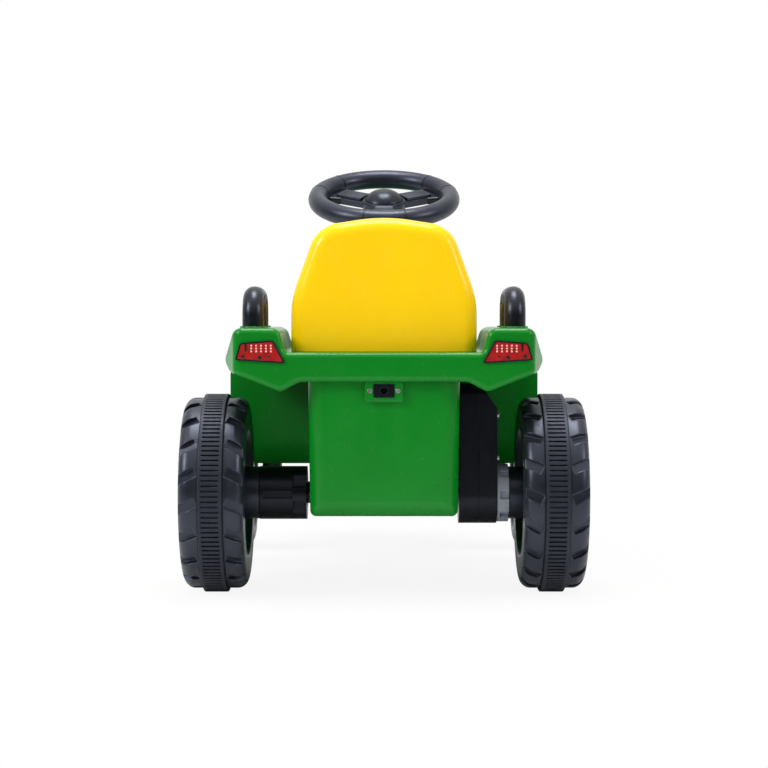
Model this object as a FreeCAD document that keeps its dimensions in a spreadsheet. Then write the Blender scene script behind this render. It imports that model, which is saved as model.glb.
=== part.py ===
import FreeCAD, Part
import math
import os
import re

import Sketcher

# Ride-on tractor toy, in millimetres. +X is the rider's right, +Y is forward and +Z is up.
# Every piece is drawn with Y measured from the rear axle and Z from the floor, and its
# placement then moves it so that the origin lies under the middle of the whole toy.

SIZES = {
    # Stance
    "wheelbase": 380,
    "nose_overhang": 145,
    "wall": 3,
    "seat_gap": 0.3,
    "running_gap": 0.05,
    "screw_gap": 0.1,
    "overrun": 1,
    "shell_lip": 4,
    # Rear wheels
    "rear_wheel_radius": 102.5,
    "rear_tyre_width": 65,
    "rear_belt_width": 24.4,
    "rear_shoulder_drop": 4,
    "rear_lug_count": 20,
    "rear_rib_count": 124,
    "rear_rim_radius": 62,
    "rear_rim_depth": 17.5,
    "rear_boss_radius": 27,
    "rear_hub_radius": 22,
    # Front wheels
    "front_wheel_radius": 75,
    "front_tyre_width": 48,
    "front_track_spread": 21,
    "front_belt_width": 17,
    "front_shoulder_drop": 3,
    "front_lug_count": 16,
    "front_rib_count": 90,
    "front_rim_radius": 48,
    "front_rim_depth": 17,
    "front_boss_radius": 18,
    "front_hub_radius": 16,
    # Details shared by the wheels
    "belt_height": 6,
    "belt_rail": 3.4,
    "rib_depth": 2.4,
    "rib_share": 0.62,
    "lug_groove_width": 9.5,
    "lug_slant": 24,
    "lug_fall": 16,
    "tyre_skin": 5,
    "lug_depth": 2.2,
    "lug_land": 2.6,
    "rim_lip": 4,
    "rim_round": 3,
    "belt_round": 1,
    "rear_boss_length": 11.5,
    "front_boss_length": 6.5,
    "inner_recess": 7.5,
    "crown_depth": 12,
    "shoulder_round": 11,
    "hub_height": 6,
    "hubcap_skin": 2.5,
    "hubcap_windows": 6,
    "hubcap_gap": 1.5,
    "hubcap_nut_room": 2,
    "hubcap_flare": 6,
    "hubcap_crown_inset": 4,
    "hubcap_dish_inset": 11,
    "hubcap_dish_height": 4,
    "hubcap_lip": 9,
    "hubcap_round": 3,
    "hubcap_window_share": 0.35,
    # Rear axle
    "axle_radius": 5,
    "nut_radius": 9,
    "nut_height": 6,
    "spacer_radius": 27.5,
    "spacer_slot": 7,
    "spacer_slot_depth": 3,
    "spacer_slot_start": 4,
    "spacer_end_gap": 3,
    "spacer_pocket": 13,
    "spacer_pocket_depth": 8,
    "spacer_collar_wall": 6,
    "spacer_collar_gap": 0.4,
    "axle_tip": 1,
    # Chassis tub
    "tub_half_top": 76.5,
    "tub_taper": 2.5,
    "tub_drop": 17.5,
    "tub_back": 84,
    "tub_tuck": 30,
    "tub_corner": 16,
    "tub_foot_round": 6,
    "column_room": 4,
    "column_notch": 50,
    "spine_inset": 14,
    "spine_rise": 33,
    # Charging socket
    "socket_drop": 8.5,
    "socket_width": 20.4,
    "socket_tall": 13.2,
    "socket_depth": 16,
    "socket_frame_width": 37.7,
    "socket_frame_reach": 5,
    "socket_frame_border": 4,
    "socket_frame_round": 3,
    "socket_frame_tuck": 2,
    "socket_stand": 0.6,
    "socket_back": 4,
    "socket_round": 1,
    "plug_pin_set_back": 2,
    "socket_screw_pitch": 28,
    "socket_screw_radius": 2.4,
    "socket_shank_radius": 1.44,
    "socket_screw_head": 1.6,
    "socket_screw_reach": 4,
    "plug_hole_radius": 3.2,
    "plug_pin_radius": 1,
    # Rear body: bumper, deck and fenders
    "rear_bumper_reach": 11,
    "deck_rise": 147.5,
    "bumper_depth": 29.7,
    "bumper_margin": 6.5,
    "fender_tip_drop": 40,
    "fender_tip_reach": 19.5,
    "fender_low_inset": 7,
    "fender_low_drop": 20,
    "fender_reach": 84.5,
    "fender_mid_drop": 9,
    "fender_top_inset": 13,
    "fender_rise": 24,
    "seat_side_gap": 10.5,
    "fender_front": 118,
    "fender_crest_end": 66,
    "fender_brow_drop": 24,
    "fender_round": 10,
    "body_edge_round": 6,
    "fender_inner_lean": 6,
    "deck_round": 5,
    "fender_brow_round": 22,
    "body_corner": 10,
    "body_sweep": 30,
    # Tail lamps
    "lamp_thick": 1.6,
    "lamp_round": 2,
    "lamp_inner_low_inset": 63.1,
    "lamp_outer_low_inset": 14.2,
    "lamp_outer_top_inset": 19.2,
    "lamp_inner_top_inset": 51.4,
    "lamp_drop": 10.4,
    "lamp_outer_rise": 3.1,
    "lamp_outer_fall": 2.6,
    "lamp_rise": 11.6,
    # Step panels
    "step_width": 91.5,
    "step_rise": 39,
    "step_thick": 3.5,
    "step_overlap": 22,
    "step_lip": 8,
    "step_rib": 1.6,
    "arch_wall_drop": 10,
    "arch_gap": 4.6,
    "arch_round": 4,
    "arch_inset": 8,
    "step_corner": 18,
    "step_rib_margin": 8,
    "step_rib_start": 16,
    "step_rib_width": 4,
    "step_ribs_right": 5,
    "step_ribs_left": 9,
    # Seat
    "seat_half": 93.5,
    "seat_bend_rise": 53,
    "seat_shoulder_half": 67,
    "seat_shoulder_rise": 126,
    "seat_back_rise": 136.5,
    "seat_back": 66,
    "seat_back_thick": 36,
    "seat_front": 122,
    "seat_cushion_rise": 34,
    "seat_bend_round": 100,
    "seat_shoulder_round": 34,
    "seat_crown_round": 180,
    "seat_edge_round": 14,
    "seat_crease_round": 26,
    "seat_crease_drop": 6,
    "seat_crease_run": 8,
    "seat_rake": 4,
    "seat_top_round": 12,
    "seat_back_lean": 2,
    "seat_back_round": 30,
    "seat_foot_inset": 1,
    "seat_front_inset": 22,
    "seat_front_run": 60,
    "seat_front_round": 24,
    # Grab handles
    "handle_inset": 29,
    "handle_tube_radius": 11,
    "handle_rear": -50,
    "handle_front": 22,
    "handle_rise": 42,
    "handle_bend": 20,
    "handle_boss_margin": 2.5,
    "handle_boss_rise": 1.5,
    # Bonnet, nose and dashboard
    "bonnet_margin": 7.5,
    "bonnet_lift": 65,
    "bonnet_shoulder_inset": 2,
    "bonnet_shoulder_rise": 35,
    "bonnet_top_inset": 24,
    "bonnet_rise": 102,
    "bonnet_set_back": 80,
    "shoulder_bend": 25,
    "hood_bend": 15,
    "bumper_reach": 5,
    "nose_inset": 18,
    "nose_taper_run": 50,
    "nose_brow_rise": 5,
    "nose_fall": 30,
    "nose_set_back": 15,
    "nose_foot_round": 6,
    "nose_brow_round": 20,
    "nose_top_round": 25,
    "nose_taper_round": 30,
    "nose_corner": 14,
    "dash_round": 12,
    "dash_depth": 52,
    "grille_half": 34,
    "grille_lift": 15,
    "grille_tall": 85,
    "grille_thick": 4.5,
    "grille_slots": 7,
    "grille_round": 8,
    "grille_floor": 1.5,
    "grille_border": 6,
    "grille_slot_start": 8,
    "grille_slot_share": 0.55,
    "grille_spare": 10,
    "headlamp_slant": 10,
    "headlamp_round": 3,
    "headlamp_gap": 4,
    "headlamp_wide": 24,
    "headlamp_tall": 38,
    "bumper_front_margin": 4,
    "bumper_front_tall": 38,
    "bumper_front_round": 16,
    # Battery
    "battery_length": 70,
    "battery_width": 47,
    "battery_height": 101,
    "battery_place": 70,
    "battery_round": 2,
    "terminal_inset": 10,
    "terminal_half": 2.4,
    "terminal_height": 6,
    "terminal_back": 8,
    "terminal_thick": 1,
    "strap_foot": 14,
    "strap_round": 1,
    "strap_width": 18,
    "strap_thick": 1.5,
    # Gearbox and gear train
    "gearbox_gap": 0.5,
    "gearbox_inner_depth": 20,
    "gearbox_outer_depth": 19,
    "gearbox_low_radius": 31.5,
    "gearbox_cap": 32.8,
    "gearbox_half_top": 26,
    "gearbox_wall": 2.5,
    "gearbox_round": 29.5,
    "gearbox_top_round": 12,
    "gearbox_slope_drop": 25,
    "gearbox_slope_start": 1,
    "gearbox_screw_inset": 6,
    "gearbox_screw_drop": 33,
    "gearbox_screw_lift": 8,
    "gearbox_screw_start": 2,
    "gearbox_screw_head": 3,
    "gearbox_head_height": 2,
    "screw_post_wall": 1.6,
    "gear_module": 0.95,
    "pinion_teeth": 14,
    "wheel_teeth": 42,
    "output_teeth": 46,
    "gear_face": 7,
    "gear_layer": 8.5,
    "gear_backlash": 0.3,
    "gear_pressure": 20,
    "gear_tip_share": 0.8,
    "gear_root_share": 1.1,
    "gear_end_gap": 2,
    "gear_side_gap": 0.5,
    "gear_sleeve_wall": 2,
    "shaft_radius": 2.5,
    "neck_radius": 11,
    "drive_ring_radius": 30,
    "drive_ring_length": 11.9,
    "drive_ring_lobes": 8,
    "lobe_gap_half": 4,
    "lobe_gap_depth": 4,
    "lobe_flange": 3,
    "motor_radius": 14,
    "motor_length": 38,
    "motor_shaft_radius": 1.6,
    "motor_nose_radius": 6,
    "motor_tail_radius": 5,
    "motor_tail_length": 3,
    "gearbox_screw_radius": 1.5,
    # Steering
    "crank_set_forward": 3.8,
    "steering_rise": 69,
    "steering_tilt": 21,
    "rim_radius": 77,
    "rim_tube_radius": 11,
    "spoke_width": 26,
    "spoke_thick": 7,
    "spoke_drop": 4,
    "hub_disc_radius": 25,
    "hub_cap_radius": 22,
    "hub_cap_rise": 13,
    "column_radius": 5,
    "crank_radius": 30,
    "crank_thick": 6,
    "crank_pin_radius": 4,
    "crank_clear": 16.9,
    "crank_pin_length": 16,
    "crank_margin": 3,
    "hub_depth": 18,
    "hub_step": 1.5,
    "hub_skin": 4.5,
    "spoke_overlap": 4,
    "hub_cap_edge": 2.5,
    "hub_cap_share": 0.66,
    "hub_cap_bend": 22,
    "bush_radius": 8,
    "bush_flange_radius": 12,
    "bush_length": 10,
    "bush_flange_thick": 2.5,
    "bush_block_wall": 4,
    "bush_block_height": 14,
    # Front axle and steering linkage
    "kingpin_inset": 45,
    "kingpin_radius": 6,
    "beam_back": 24,
    "beam_front": 16,
    "beam_thick": 12,
    "kingpin_boss_radius": 12,
    "boss_length_down": 25.7,
    "knuckle_radius": 9,
    "arm_length": 30,
    "arm_width": 14,
    "tie_rod_lift": 3,
    "tie_rod_thick": 4,
    "tie_rod_width": 24,
    "tie_pin_radius": 4,
    "tie_pin_gap": 0.3,
    "tie_pin_stand": 4,
    "tie_rod_end": 10,
    "tie_rod_round": 8,
    "crank_slot_side": 0.7,
    "crank_slot_end": 3.5,
    "crank_slot_round": 2,
    # Pedal
    "pedal_inset": 48,
    "pedal_width": 40,
    "pedal_length": 58,
    "pedal_thick": 5,
    "pedal_set_back": 48,
    "pedal_pivot_rise": 6,
    "pedal_rest_angle": 20,
    "pedal_pin_radius": 2.5,
    "pedal_lug_thick": 5,
    "pedal_side_gap": 1,
    "pedal_switch_height": 4,
    "pedal_hub_radius": 4.5,
    "pedal_corner": 8,
    "pedal_rib": 1.5,
    "pedal_rib_margin": 5,
    "pedal_rib_start": 12,
    "pedal_rib_width": 3,
    "pedal_ribs": 5,
    "pedal_switch_half": 10,
    "pedal_switch_place": 24,
    "pedal_switch_round": 1,
    "plunger_radius": 3,
    "plunger_rise": 1.2,
    "pedal_lug_half": 7,
    "pedal_lug_rise": 6,
    "pedal_lug_round": 5,
    # Dashboard switches
    "rocker_place": 36,
    "rocker_rise": 25,
    "rocker_width": 18,
    "rocker_tall": 24,
    "rocker_deep": 8,
    "rocker_pin_radius": 1.5,
    "rocker_gap": 0.8,
    "rocker_pin_reach": 2,
    "rocker_pin_end_gap": 0.4,
    "rocker_lip": 1.5,
    "rocker_draft": 1,
    "rocker_edge_round": 1,
    "rocker_dish_round": 20,
    "bezel_border": 4,
    "bezel_thick": 4,
    "bezel_round": 6,
    "horn_radius": 9,
    "horn_rise": 25,
    "horn_stand": 5,
    "horn_round": 1.5,
    # Body screws
    "body_screw_radius": 2,
    "body_screw_head": 4,
    "body_screw_head_height": 2.4,
    "body_screw_grip": 4,
    "body_screw_lift": 25,
}

# Faces that meet at a larger angle than this, in radians, meet along a sharp edge
SHARP_FOLD = 0.05

# Places that follow other sizes
FOLLOWING = {
    "rear_track": "2 * (gearbox_outer_face + 2 * seat_gap + drive_ring_length + rear_boss_length)"
                  " + rear_tyre_width",
    "front_track": "rear_track + front_track_spread",
    "kingpin_half": "front_track / 2 - kingpin_inset",
    "step_half": "tub_half_top + step_width",
    "tub_half_bottom": "tub_half_top - tub_taper",
    "spine_half": "tub_half_bottom - spine_inset",
    "bumper_half": "tub_half_top + bumper_margin",
    "fender_tip_half": "bumper_half + fender_tip_reach",
    "fender_half": "tub_half_top + fender_reach",
    "fender_low_half": "fender_half - fender_low_inset",
    "fender_top_half": "fender_half - fender_top_inset",
    "fender_inner_half": "seat_half + seat_side_gap",
    "handle_offset": "fender_half - handle_inset",
    "lamp_inner_low": "fender_half - lamp_inner_low_inset",
    "lamp_outer_low": "fender_half - lamp_outer_low_inset",
    "lamp_outer_top": "fender_half - lamp_outer_top_inset",
    "lamp_inner_top": "fender_half - lamp_inner_top_inset",
    "pedal_place": "step_half - pedal_inset",
    "bonnet_half": "tub_half_top + bonnet_margin",
    "bonnet_shoulder_half": "bonnet_half - bonnet_shoulder_inset",
    "bonnet_top_half": "bonnet_half - bonnet_top_inset",
    "nose_half": "bonnet_half - nose_inset",
    "bumper_front_half": "nose_half + bumper_front_margin",
    "bonnet_back": "wheelbase - bonnet_set_back",
    "step_front": "dash_back + step_overlap",
    "pedal_heel": "dash_back - pedal_set_back",
    "body_back": "tub_back + rear_bumper_reach",
    "step_rib_pitch": "(step_front - step_corner - fender_front - step_rib_start) / step_ribs_left",
    "tub_bottom": "rear_wheel_radius - tub_drop",
    "deck_height": "rear_wheel_radius + deck_rise",
    "tub_top": "deck_height - wall",
    "spine_bottom": "tub_bottom + spine_rise",
    "spine_front": "nose_taper_start",
    "bumper_bottom": "deck_height - bumper_depth",
    "socket_height": "bumper_bottom - socket_drop",
    "fender_tip": "deck_height - fender_tip_drop",
    "fender_low": "deck_height - fender_low_drop",
    "fender_mid": "deck_height - fender_mid_drop",
    "fender_top": "deck_height + fender_rise",
    "fender_brow": "deck_height - fender_brow_drop",
    "lamp_low": "deck_height - lamp_drop",
    "lamp_top": "deck_height + lamp_rise",
    "step_bottom": "tub_bottom + step_rise",
    "arch_wall_top": "deck_height - arch_wall_drop",
    "seat_bend_height": "deck_height + seat_bend_rise",
    "seat_shoulder": "deck_height + seat_shoulder_rise",
    "seat_top": "deck_height + seat_back_rise",
    "seat_cushion_top": "deck_height + seat_cushion_rise",
    "handle_top": "fender_top + handle_rise",
    "bonnet_bottom": "tub_bottom + bonnet_lift",
    "bonnet_shoulder": "deck_height + bonnet_shoulder_rise",
    "bonnet_top": "deck_height + bonnet_rise",
    "grille_bottom": "bonnet_bottom + grille_lift",
    "grille_top": "grille_bottom + grille_tall",
    "nose_brow": "grille_top + nose_brow_rise",
    "nose_top": "bonnet_top - nose_fall",
    "nose_face": "wheelbase + nose_overhang - bumper_reach",
    "nose_taper_start": "nose_face - nose_taper_run",
    "dash_back": "bonnet_back - dash_depth",
    "tub_front": "bonnet_back + tub_tuck",
    "headlamp_bottom": "grille_top - headlamp_tall",
    "headlamp_inner": "grille_half + headlamp_gap",
    "headlamp_outer": "headlamp_inner + headlamp_wide",
    "bumper_front_bottom": "bonnet_bottom - bumper_front_tall",
    "gearbox_top": "rear_wheel_radius + gear_module * (output_teeth + pinion_teeth)"
                   " / 2 + gear_module * (wheel_teeth + pinion_teeth) + gearbox_cap",
    "gearbox_inner_face": "tub_half_top + gearbox_gap",
    "gearbox_split": "gearbox_inner_face + gearbox_inner_depth",
    "gearbox_outer_face": "gearbox_split + gearbox_outer_depth",
    "steering_height": "bonnet_top + steering_rise",
    "hub_rise": "hub_step - spoke_drop",
    "column_top": "hub_rise - hub_skin",
    "steering_place": "wheelbase - arm_length + crank_set_forward + crank_radius / cos(steering_tilt)"
                      " - (steering_height - tie_rod_bottom - tie_rod_thick / 2) * tan(steering_tilt)",
    "crank_depth": "(steering_height - crank_level) / cos(steering_tilt)",
    "crank_level": "tie_rod_bottom + tie_rod_thick + crank_clear",
    "boss_bottom": "spine_bottom - boss_length_down",
    "knuckle_bottom": "front_wheel_radius - knuckle_radius",
    "tie_rod_bottom": "front_wheel_radius + tie_rod_lift",
    "arm_top": "tie_rod_bottom - seat_gap",
    "arm_bottom": "front_wheel_radius - axle_radius",
    "rocker_height": "deck_height + rocker_rise",
    "horn_height": "rocker_height + horn_rise",
    "body_screw_height": "bonnet_bottom + body_screw_lift",
}

doc = FreeCAD.newDocument("ride_on_tractor")
sheet = doc.addObject("Spreadsheet::Sheet", "Sizes")
for row, (alias, value) in enumerate(SIZES.items(), start=1):
    sheet.set(f"A{row}", alias)
    sheet.set(f"B{row}", str(value))
    sheet.setAlias(f"B{row}", alias)
doc.recompute()

# Places that several pieces share, as expressions of the sizes
ORIGIN_SHIFT = "(rear_wheel_radius - wheelbase - nose_overhang) / 2"
FRONT_AXLE = "wheelbase"
SECOND_AXIS = "rear_wheel_radius + gear_module * (output_teeth + pinion_teeth) / 2"
FIRST_AXIS = f"{SECOND_AXIS} + gear_module * (wheel_teeth + pinion_teeth) / 2"
MOTOR_AXIS = f"{FIRST_AXIS} + gear_module * (wheel_teeth + pinion_teeth) / 2"
TUB_FLOOR = "tub_bottom + wall"
STEP_FLOOR = "step_bottom + step_thick"
HANDLE_SEAT = "fender_top + handle_boss_rise"
ARCH_WALL = "fender_front - wall - seat_gap"
SCREW_PLACES = ("(dash_back + bonnet_back) / 2", "(bonnet_back + tub_front) / 2")
COLUMN_LEAN = "tan(steering_tilt)"
COLUMN_AT_SPINE = f"steering_place + (steering_height - spine_bottom) * {COLUMN_LEAN}"
DASH_CROSSING = ("(bonnet_top - steering_height) * cos(steering_tilt)"
                 " - (bonnet_back - steering_place) * sin(steering_tilt)")
LAYER_ONE = "gearbox_inner_face + gearbox_wall + gear_end_gap"
LAYER_TWO = f"{LAYER_ONE} + gear_layer"
LAYER_THREE = f"{LAYER_TWO} + gear_layer"
LAYER_END = f"{LAYER_THREE} + gear_face"
ROCKER_ROOM = "(rocker_width / 2 + rocker_gap)"
ROCKER_REACH = "(rocker_tall / 2 + rocker_gap)"
PEDAL_LUG = "(pedal_width / 2 + pedal_side_gap)"
PEDAL_AXIS = f"{STEP_FLOOR} + pedal_pivot_rise"

SIDES = (("left", "-"), ("right", ""))
subparts = {}


def bind(expression):
    """Write a plain expression of size names the way the document reads it."""
    def spell(word):
        name = word.group()
        if name in FOLLOWING:
            return f"({bind(FOLLOWING[name])})"
        return f"Sizes.{name}" if name in SIZES else name
    return re.sub(r"[a-z_]+", spell, str(expression))


def number(expression):
    """Present value of an expression of sizes."""
    return float(sheet.evalExpression(bind(expression)))


def tie(item, **properties):
    """Bind properties of a document object to expressions of sizes."""
    for name, expression in properties.items():
        item.setExpression(name, bind(expression))


def put(item, x="0", y="0", z="0"):
    """Bind an object's position."""
    for axis, expression in zip("xyz", (x, y, z)):
        item.setExpression(f"Placement.Base.{axis}", bind(expression))


def tilt(item, angle):
    """Bind an object's turn about the cross axis."""
    item.Placement = FreeCAD.Placement(FreeCAD.Vector(), FreeCAD.Rotation(FreeCAD.Vector(1, 0, 0), 1))
    item.setExpression("Placement.Rotation.Angle", bind(angle))


def keep(label, item, y=ORIGIN_SHIFT, x="0", z="0"):
    """Register a finished sub-part under its label and move it into the toy's own frame."""
    item.Label = label
    put(item, x, y, z)
    subparts[label] = item
    return item


def corner_arcs(corners):
    """Tangent points and arc centre at each corner of a closed outline."""
    points = [FreeCAD.Vector(number(c[0]), number(c[1]), 0) for c in corners]
    radii = [number(c[2]) if len(c) > 2 else 0.0 for c in corners]
    result = []
    for index, point in enumerate(points):
        arriving = (point - points[index - 1]).normalize()
        leaving = (points[(index + 1) % len(points)] - point).normalize()
        turn = arriving.cross(leaving).z
        reach = radii[index] * math.tan(arriving.getAngle(leaving) / 2)
        side = FreeCAD.Vector(-arriving.y, arriving.x, 0) * (1 if turn > 0 else -1)
        begin = point - arriving * reach
        result.append((begin, point + leaving * reach, begin + side * radii[index], radii[index], turn > 0))
    return points, result


def hold_point(sketch, geometry, end, x, y):
    """Hold one point of a sketch at expressions of sizes."""
    for kind, expression in (("DistanceX", x), ("DistanceY", y)):
        limit = sketch.addConstraint(Sketcher.Constraint(kind, -1, 1, geometry, end, number(expression)))
        sketch.setExpression(f"Constraints[{limit}]", bind(expression))


def hold_radius(sketch, geometry, radius):
    """Hold the radius of a circle or arc at an expression of sizes."""
    limit = sketch.addConstraint(Sketcher.Constraint("Radius", geometry, number(radius)))
    sketch.setExpression(f"Constraints[{limit}]", bind(radius))


def draw_outline(sketch, corners):
    """Draw a closed outline of straight runs with an arc at each corner that has a radius."""
    points, arcs = corner_arcs(corners)
    runs = []
    for index, arc in enumerate(arcs):
        following = arcs[(index + 1) % len(arcs)]
        runs.append(sketch.addGeometry(Part.LineSegment(arc[1], following[0])))
    for index, (begin, end, centre, radius, left_turn) in enumerate(arcs):
        arriving, leaving = runs[index - 1], runs[index]
        if radius == 0:
            sketch.addConstraint(Sketcher.Constraint("Coincident", arriving, 2, leaving, 1))
            hold_point(sketch, leaving, 1, corners[index][0], corners[index][1])
            continue
        first, last = (begin, end) if left_turn else (end, begin)
        angles = [math.atan2(spot.y - centre.y, spot.x - centre.x) for spot in (first, last)]
        circle = Part.Circle(centre, FreeCAD.Vector(0, 0, 1), radius)
        bend = sketch.addGeometry(Part.ArcOfCircle(circle, angles[0], angles[1]))
        corner = sketch.addGeometry(Part.Point(points[index]), True)
        sketch.addConstraint(Sketcher.Constraint("Tangent", arriving, 2, bend, 1 if left_turn else 2))
        sketch.addConstraint(Sketcher.Constraint("Tangent", leaving, 1, bend, 2 if left_turn else 1))
        sketch.addConstraint(Sketcher.Constraint("PointOnObject", corner, 1, arriving))
        sketch.addConstraint(Sketcher.Constraint("PointOnObject", corner, 1, leaving))
        hold_point(sketch, corner, 1, corners[index][0], corners[index][1])
        hold_radius(sketch, bend, corners[index][2])


def draw_round(sketch, x, y, radius):
    """Draw one circle."""
    place = FreeCAD.Vector(number(x), number(y), 0)
    ring = sketch.addGeometry(Part.Circle(place, FreeCAD.Vector(0, 0, 1), number(radius)))
    hold_point(sketch, ring, 3, x, y)
    hold_radius(sketch, ring, radius)


class Moulding:
    """One sub-part made feature by feature in its own body."""

    def __init__(self, name):
        self.name = name
        self.body = doc.addObject("PartDesign::Body", name)
        self.count = 0

    def step_name(self, kind):
        self.count += 1
        return f"{self.name}_{kind}_{self.count}"

    def sketch(self, plane, outlines=(), rounds=(), offset="0"):
        """Sketch on one of the body's own planes, moved along that plane's normal."""
        drawing = self.body.newObject("Sketcher::SketchObject", self.step_name("sketch"))
        base = next(p for p in self.body.Origin.OriginFeatures if p.Role == f"{plane}_Plane")
        drawing.AttachmentSupport = [(base, "")]
        drawing.MapMode = "FlatFace"
        drawing.setExpression("AttachmentOffset.Base.z", bind(offset))
        for corners in outlines:
            draw_outline(drawing, corners)
        for x, y, radius in rounds:
            draw_round(drawing, x, y, radius)
        return drawing

    def feature(self, kind, profile):
        item = self.body.newObject(f"PartDesign::{kind}", self.step_name(kind.lower()))
        item.Profile = profile
        profile.Visibility = False
        return item

    def along(self, plane, low, high):
        """Start and end along the plane's normal, which points to -Y on the XZ plane."""
        return (f"-({high})", f"-({low})") if plane == "XZ" else (low, high)

    def pad(self, plane, low, high, outlines=(), rounds=()):
        """Add material between two levels."""
        start, end = self.along(plane, low, high)
        item = self.feature("Pad", self.sketch(plane, outlines, rounds, start))
        tie(item, Length=f"({end}) - ({start})")
        return self

    def pocket(self, plane, low, high, outlines=(), rounds=()):
        """Remove material between two levels, and see that some went."""
        doc.recompute()
        before = self.body.Shape.Volume
        start, end = self.along(plane, low, high)
        item = self.feature("Pocket", self.sketch(plane, outlines, rounds, end))
        tie(item, Length=f"({end}) - ({start})")
        doc.recompute()
        if self.body.Shape.Volume > before - 0.01:
            raise RuntimeError(f"{item.Name} removes nothing")
        return self

    def spin(self, outlines, axis="H_Axis", plane="XY"):
        """Turn a half profile about an axis of its own sketch."""
        drawing = self.sketch(plane, outlines)
        item = self.feature("Revolution", drawing)
        item.ReferenceAxis = (drawing, [axis])
        tie(item, Angle="360")
        return self

    def polar(self, count, axis):
        """Repeat the last feature round one of the body's own axes."""
        source = self.body.Tip
        item = self.body.newObject("PartDesign::PolarPattern", self.step_name("pattern"))
        item.Originals = [source]
        line = next(p for p in self.body.Origin.OriginFeatures if p.Role == f"{axis}_Axis")
        item.Axis = (line, [""])
        item.Angle = 360
        tie(item, Occurrences=count)
        self.body.Tip = item
        return self

    def row(self, count, length, axis):
        """Repeat the last feature in a straight row."""
        source = self.body.Tip
        item = self.body.newObject("PartDesign::LinearPattern", self.step_name("pattern"))
        item.Originals = [source]
        line = next(p for p in self.body.Origin.OriginFeatures if p.Role == f"{axis}_Axis")
        item.Direction = (line, [""])
        tie(item, Length=length, Occurrences=count)
        self.body.Tip = item
        return self

    def round_edges(self, radius, wanted):
        """Fillet the edges that a test picks."""
        doc.recompute()
        source = self.body.Tip
        names = [f"Edge{i}" for i, edge in enumerate(source.Shape.Edges, start=1) if wanted(edge)]
        if not names:
            raise RuntimeError(f"{self.name} has no such edge")
        item = self.body.newObject("PartDesign::Fillet", self.step_name("fillet"))
        item.Base = (source, names)
        tie(item, Radius=radius)
        doc.recompute()
        return self


def boolean(kind, name, first, second):
    """Cut, join or intersect two document objects."""
    item = doc.addObject(f"Part::{kind}", name)
    item.Base = first
    item.Tool = second
    return item


def box(name, x, y, z):
    """Box between pairs of levels on each axis."""
    item = doc.addObject("Part::Box", name)
    tie(item, Length=f"({x[1]}) - ({x[0]})", Width=f"({y[1]}) - ({y[0]})", Height=f"({z[1]}) - ({z[0]})")
    put(item, x[0], y[0], z[0])
    return item


def rod(name, radius, low, high, axis="Z", x="0", y="0", z="0"):
    """Cylinder between two levels along one axis."""
    item = doc.addObject("Part::Cylinder", name)
    tie(item, Radius=radius, Height=f"({high}) - ({low})")
    turn = {"X": FreeCAD.Rotation(FreeCAD.Vector(0, 1, 0), 90),
            "Y": FreeCAD.Rotation(FreeCAD.Vector(1, 0, 0), -90),
            "Z": FreeCAD.Rotation()}[axis]
    item.Placement = FreeCAD.Placement(FreeCAD.Vector(), turn)
    place = {"X": x, "Y": y, "Z": z}
    place[axis] = low
    put(item, place["X"], place["Y"], place["Z"])
    return item


def group(name, items):
    """Several separate solids in one sub-part."""
    item = doc.addObject("Part::Compound", name)
    item.Links = items
    return item


def join(name, items):
    """One solid from several overlapping ones."""
    item = doc.addObject("Part::MultiFuse", name)
    item.Shapes = items
    item.Refine = True
    return item


def mirrored(label, source):
    """Sub-part on the other side of the toy's middle plane."""
    item = doc.addObject("Part::Mirroring", label)
    item.Source = source
    item.Normal = FreeCAD.Vector(1, 0, 0)
    item.Label = label
    subparts[label] = item
    return item


def twin(label, source, axle):
    """The same moulding on the other end of an axle, turned half round."""
    item = doc.addObject("Part::Compound", label)
    item.Links = [source]
    item.Placement = FreeCAD.Placement(FreeCAD.Vector(), FreeCAD.Rotation(FreeCAD.Vector(0, 0, 1), 180))
    return keep(label, item, f"2 * ({ORIGIN_SHIFT} + {axle})")


def fold(edge, solid):
    """Angle between the two faces that meet along an edge, and 0 where one face closes on itself."""
    faces = [face for face in solid.Faces if any(edge.isSame(side) for side in face.Edges)]
    if len(faces) < 2:
        return 0
    middle = edge.valueAt((edge.FirstParameter + edge.LastParameter) / 2)
    normals = [face.normalAt(*face.Surface.parameter(middle)) for face in faces]
    return normals[0].getAngle(normals[1])


def softened(name, source, radius, wanted):
    """Round the sharp edges of a solid whose ends pass a test."""
    doc.recompute()
    solid = source.Shape
    item = doc.addObject("Part::Fillet", name)
    item.Base = source
    item.Edges = [(index, radius, radius) for index, edge in enumerate(solid.Edges, start=1)
                  if wanted([end.Point for end in edge.Vertexes]) and fold(edge, solid) > SHARP_FOLD]
    return item


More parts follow.
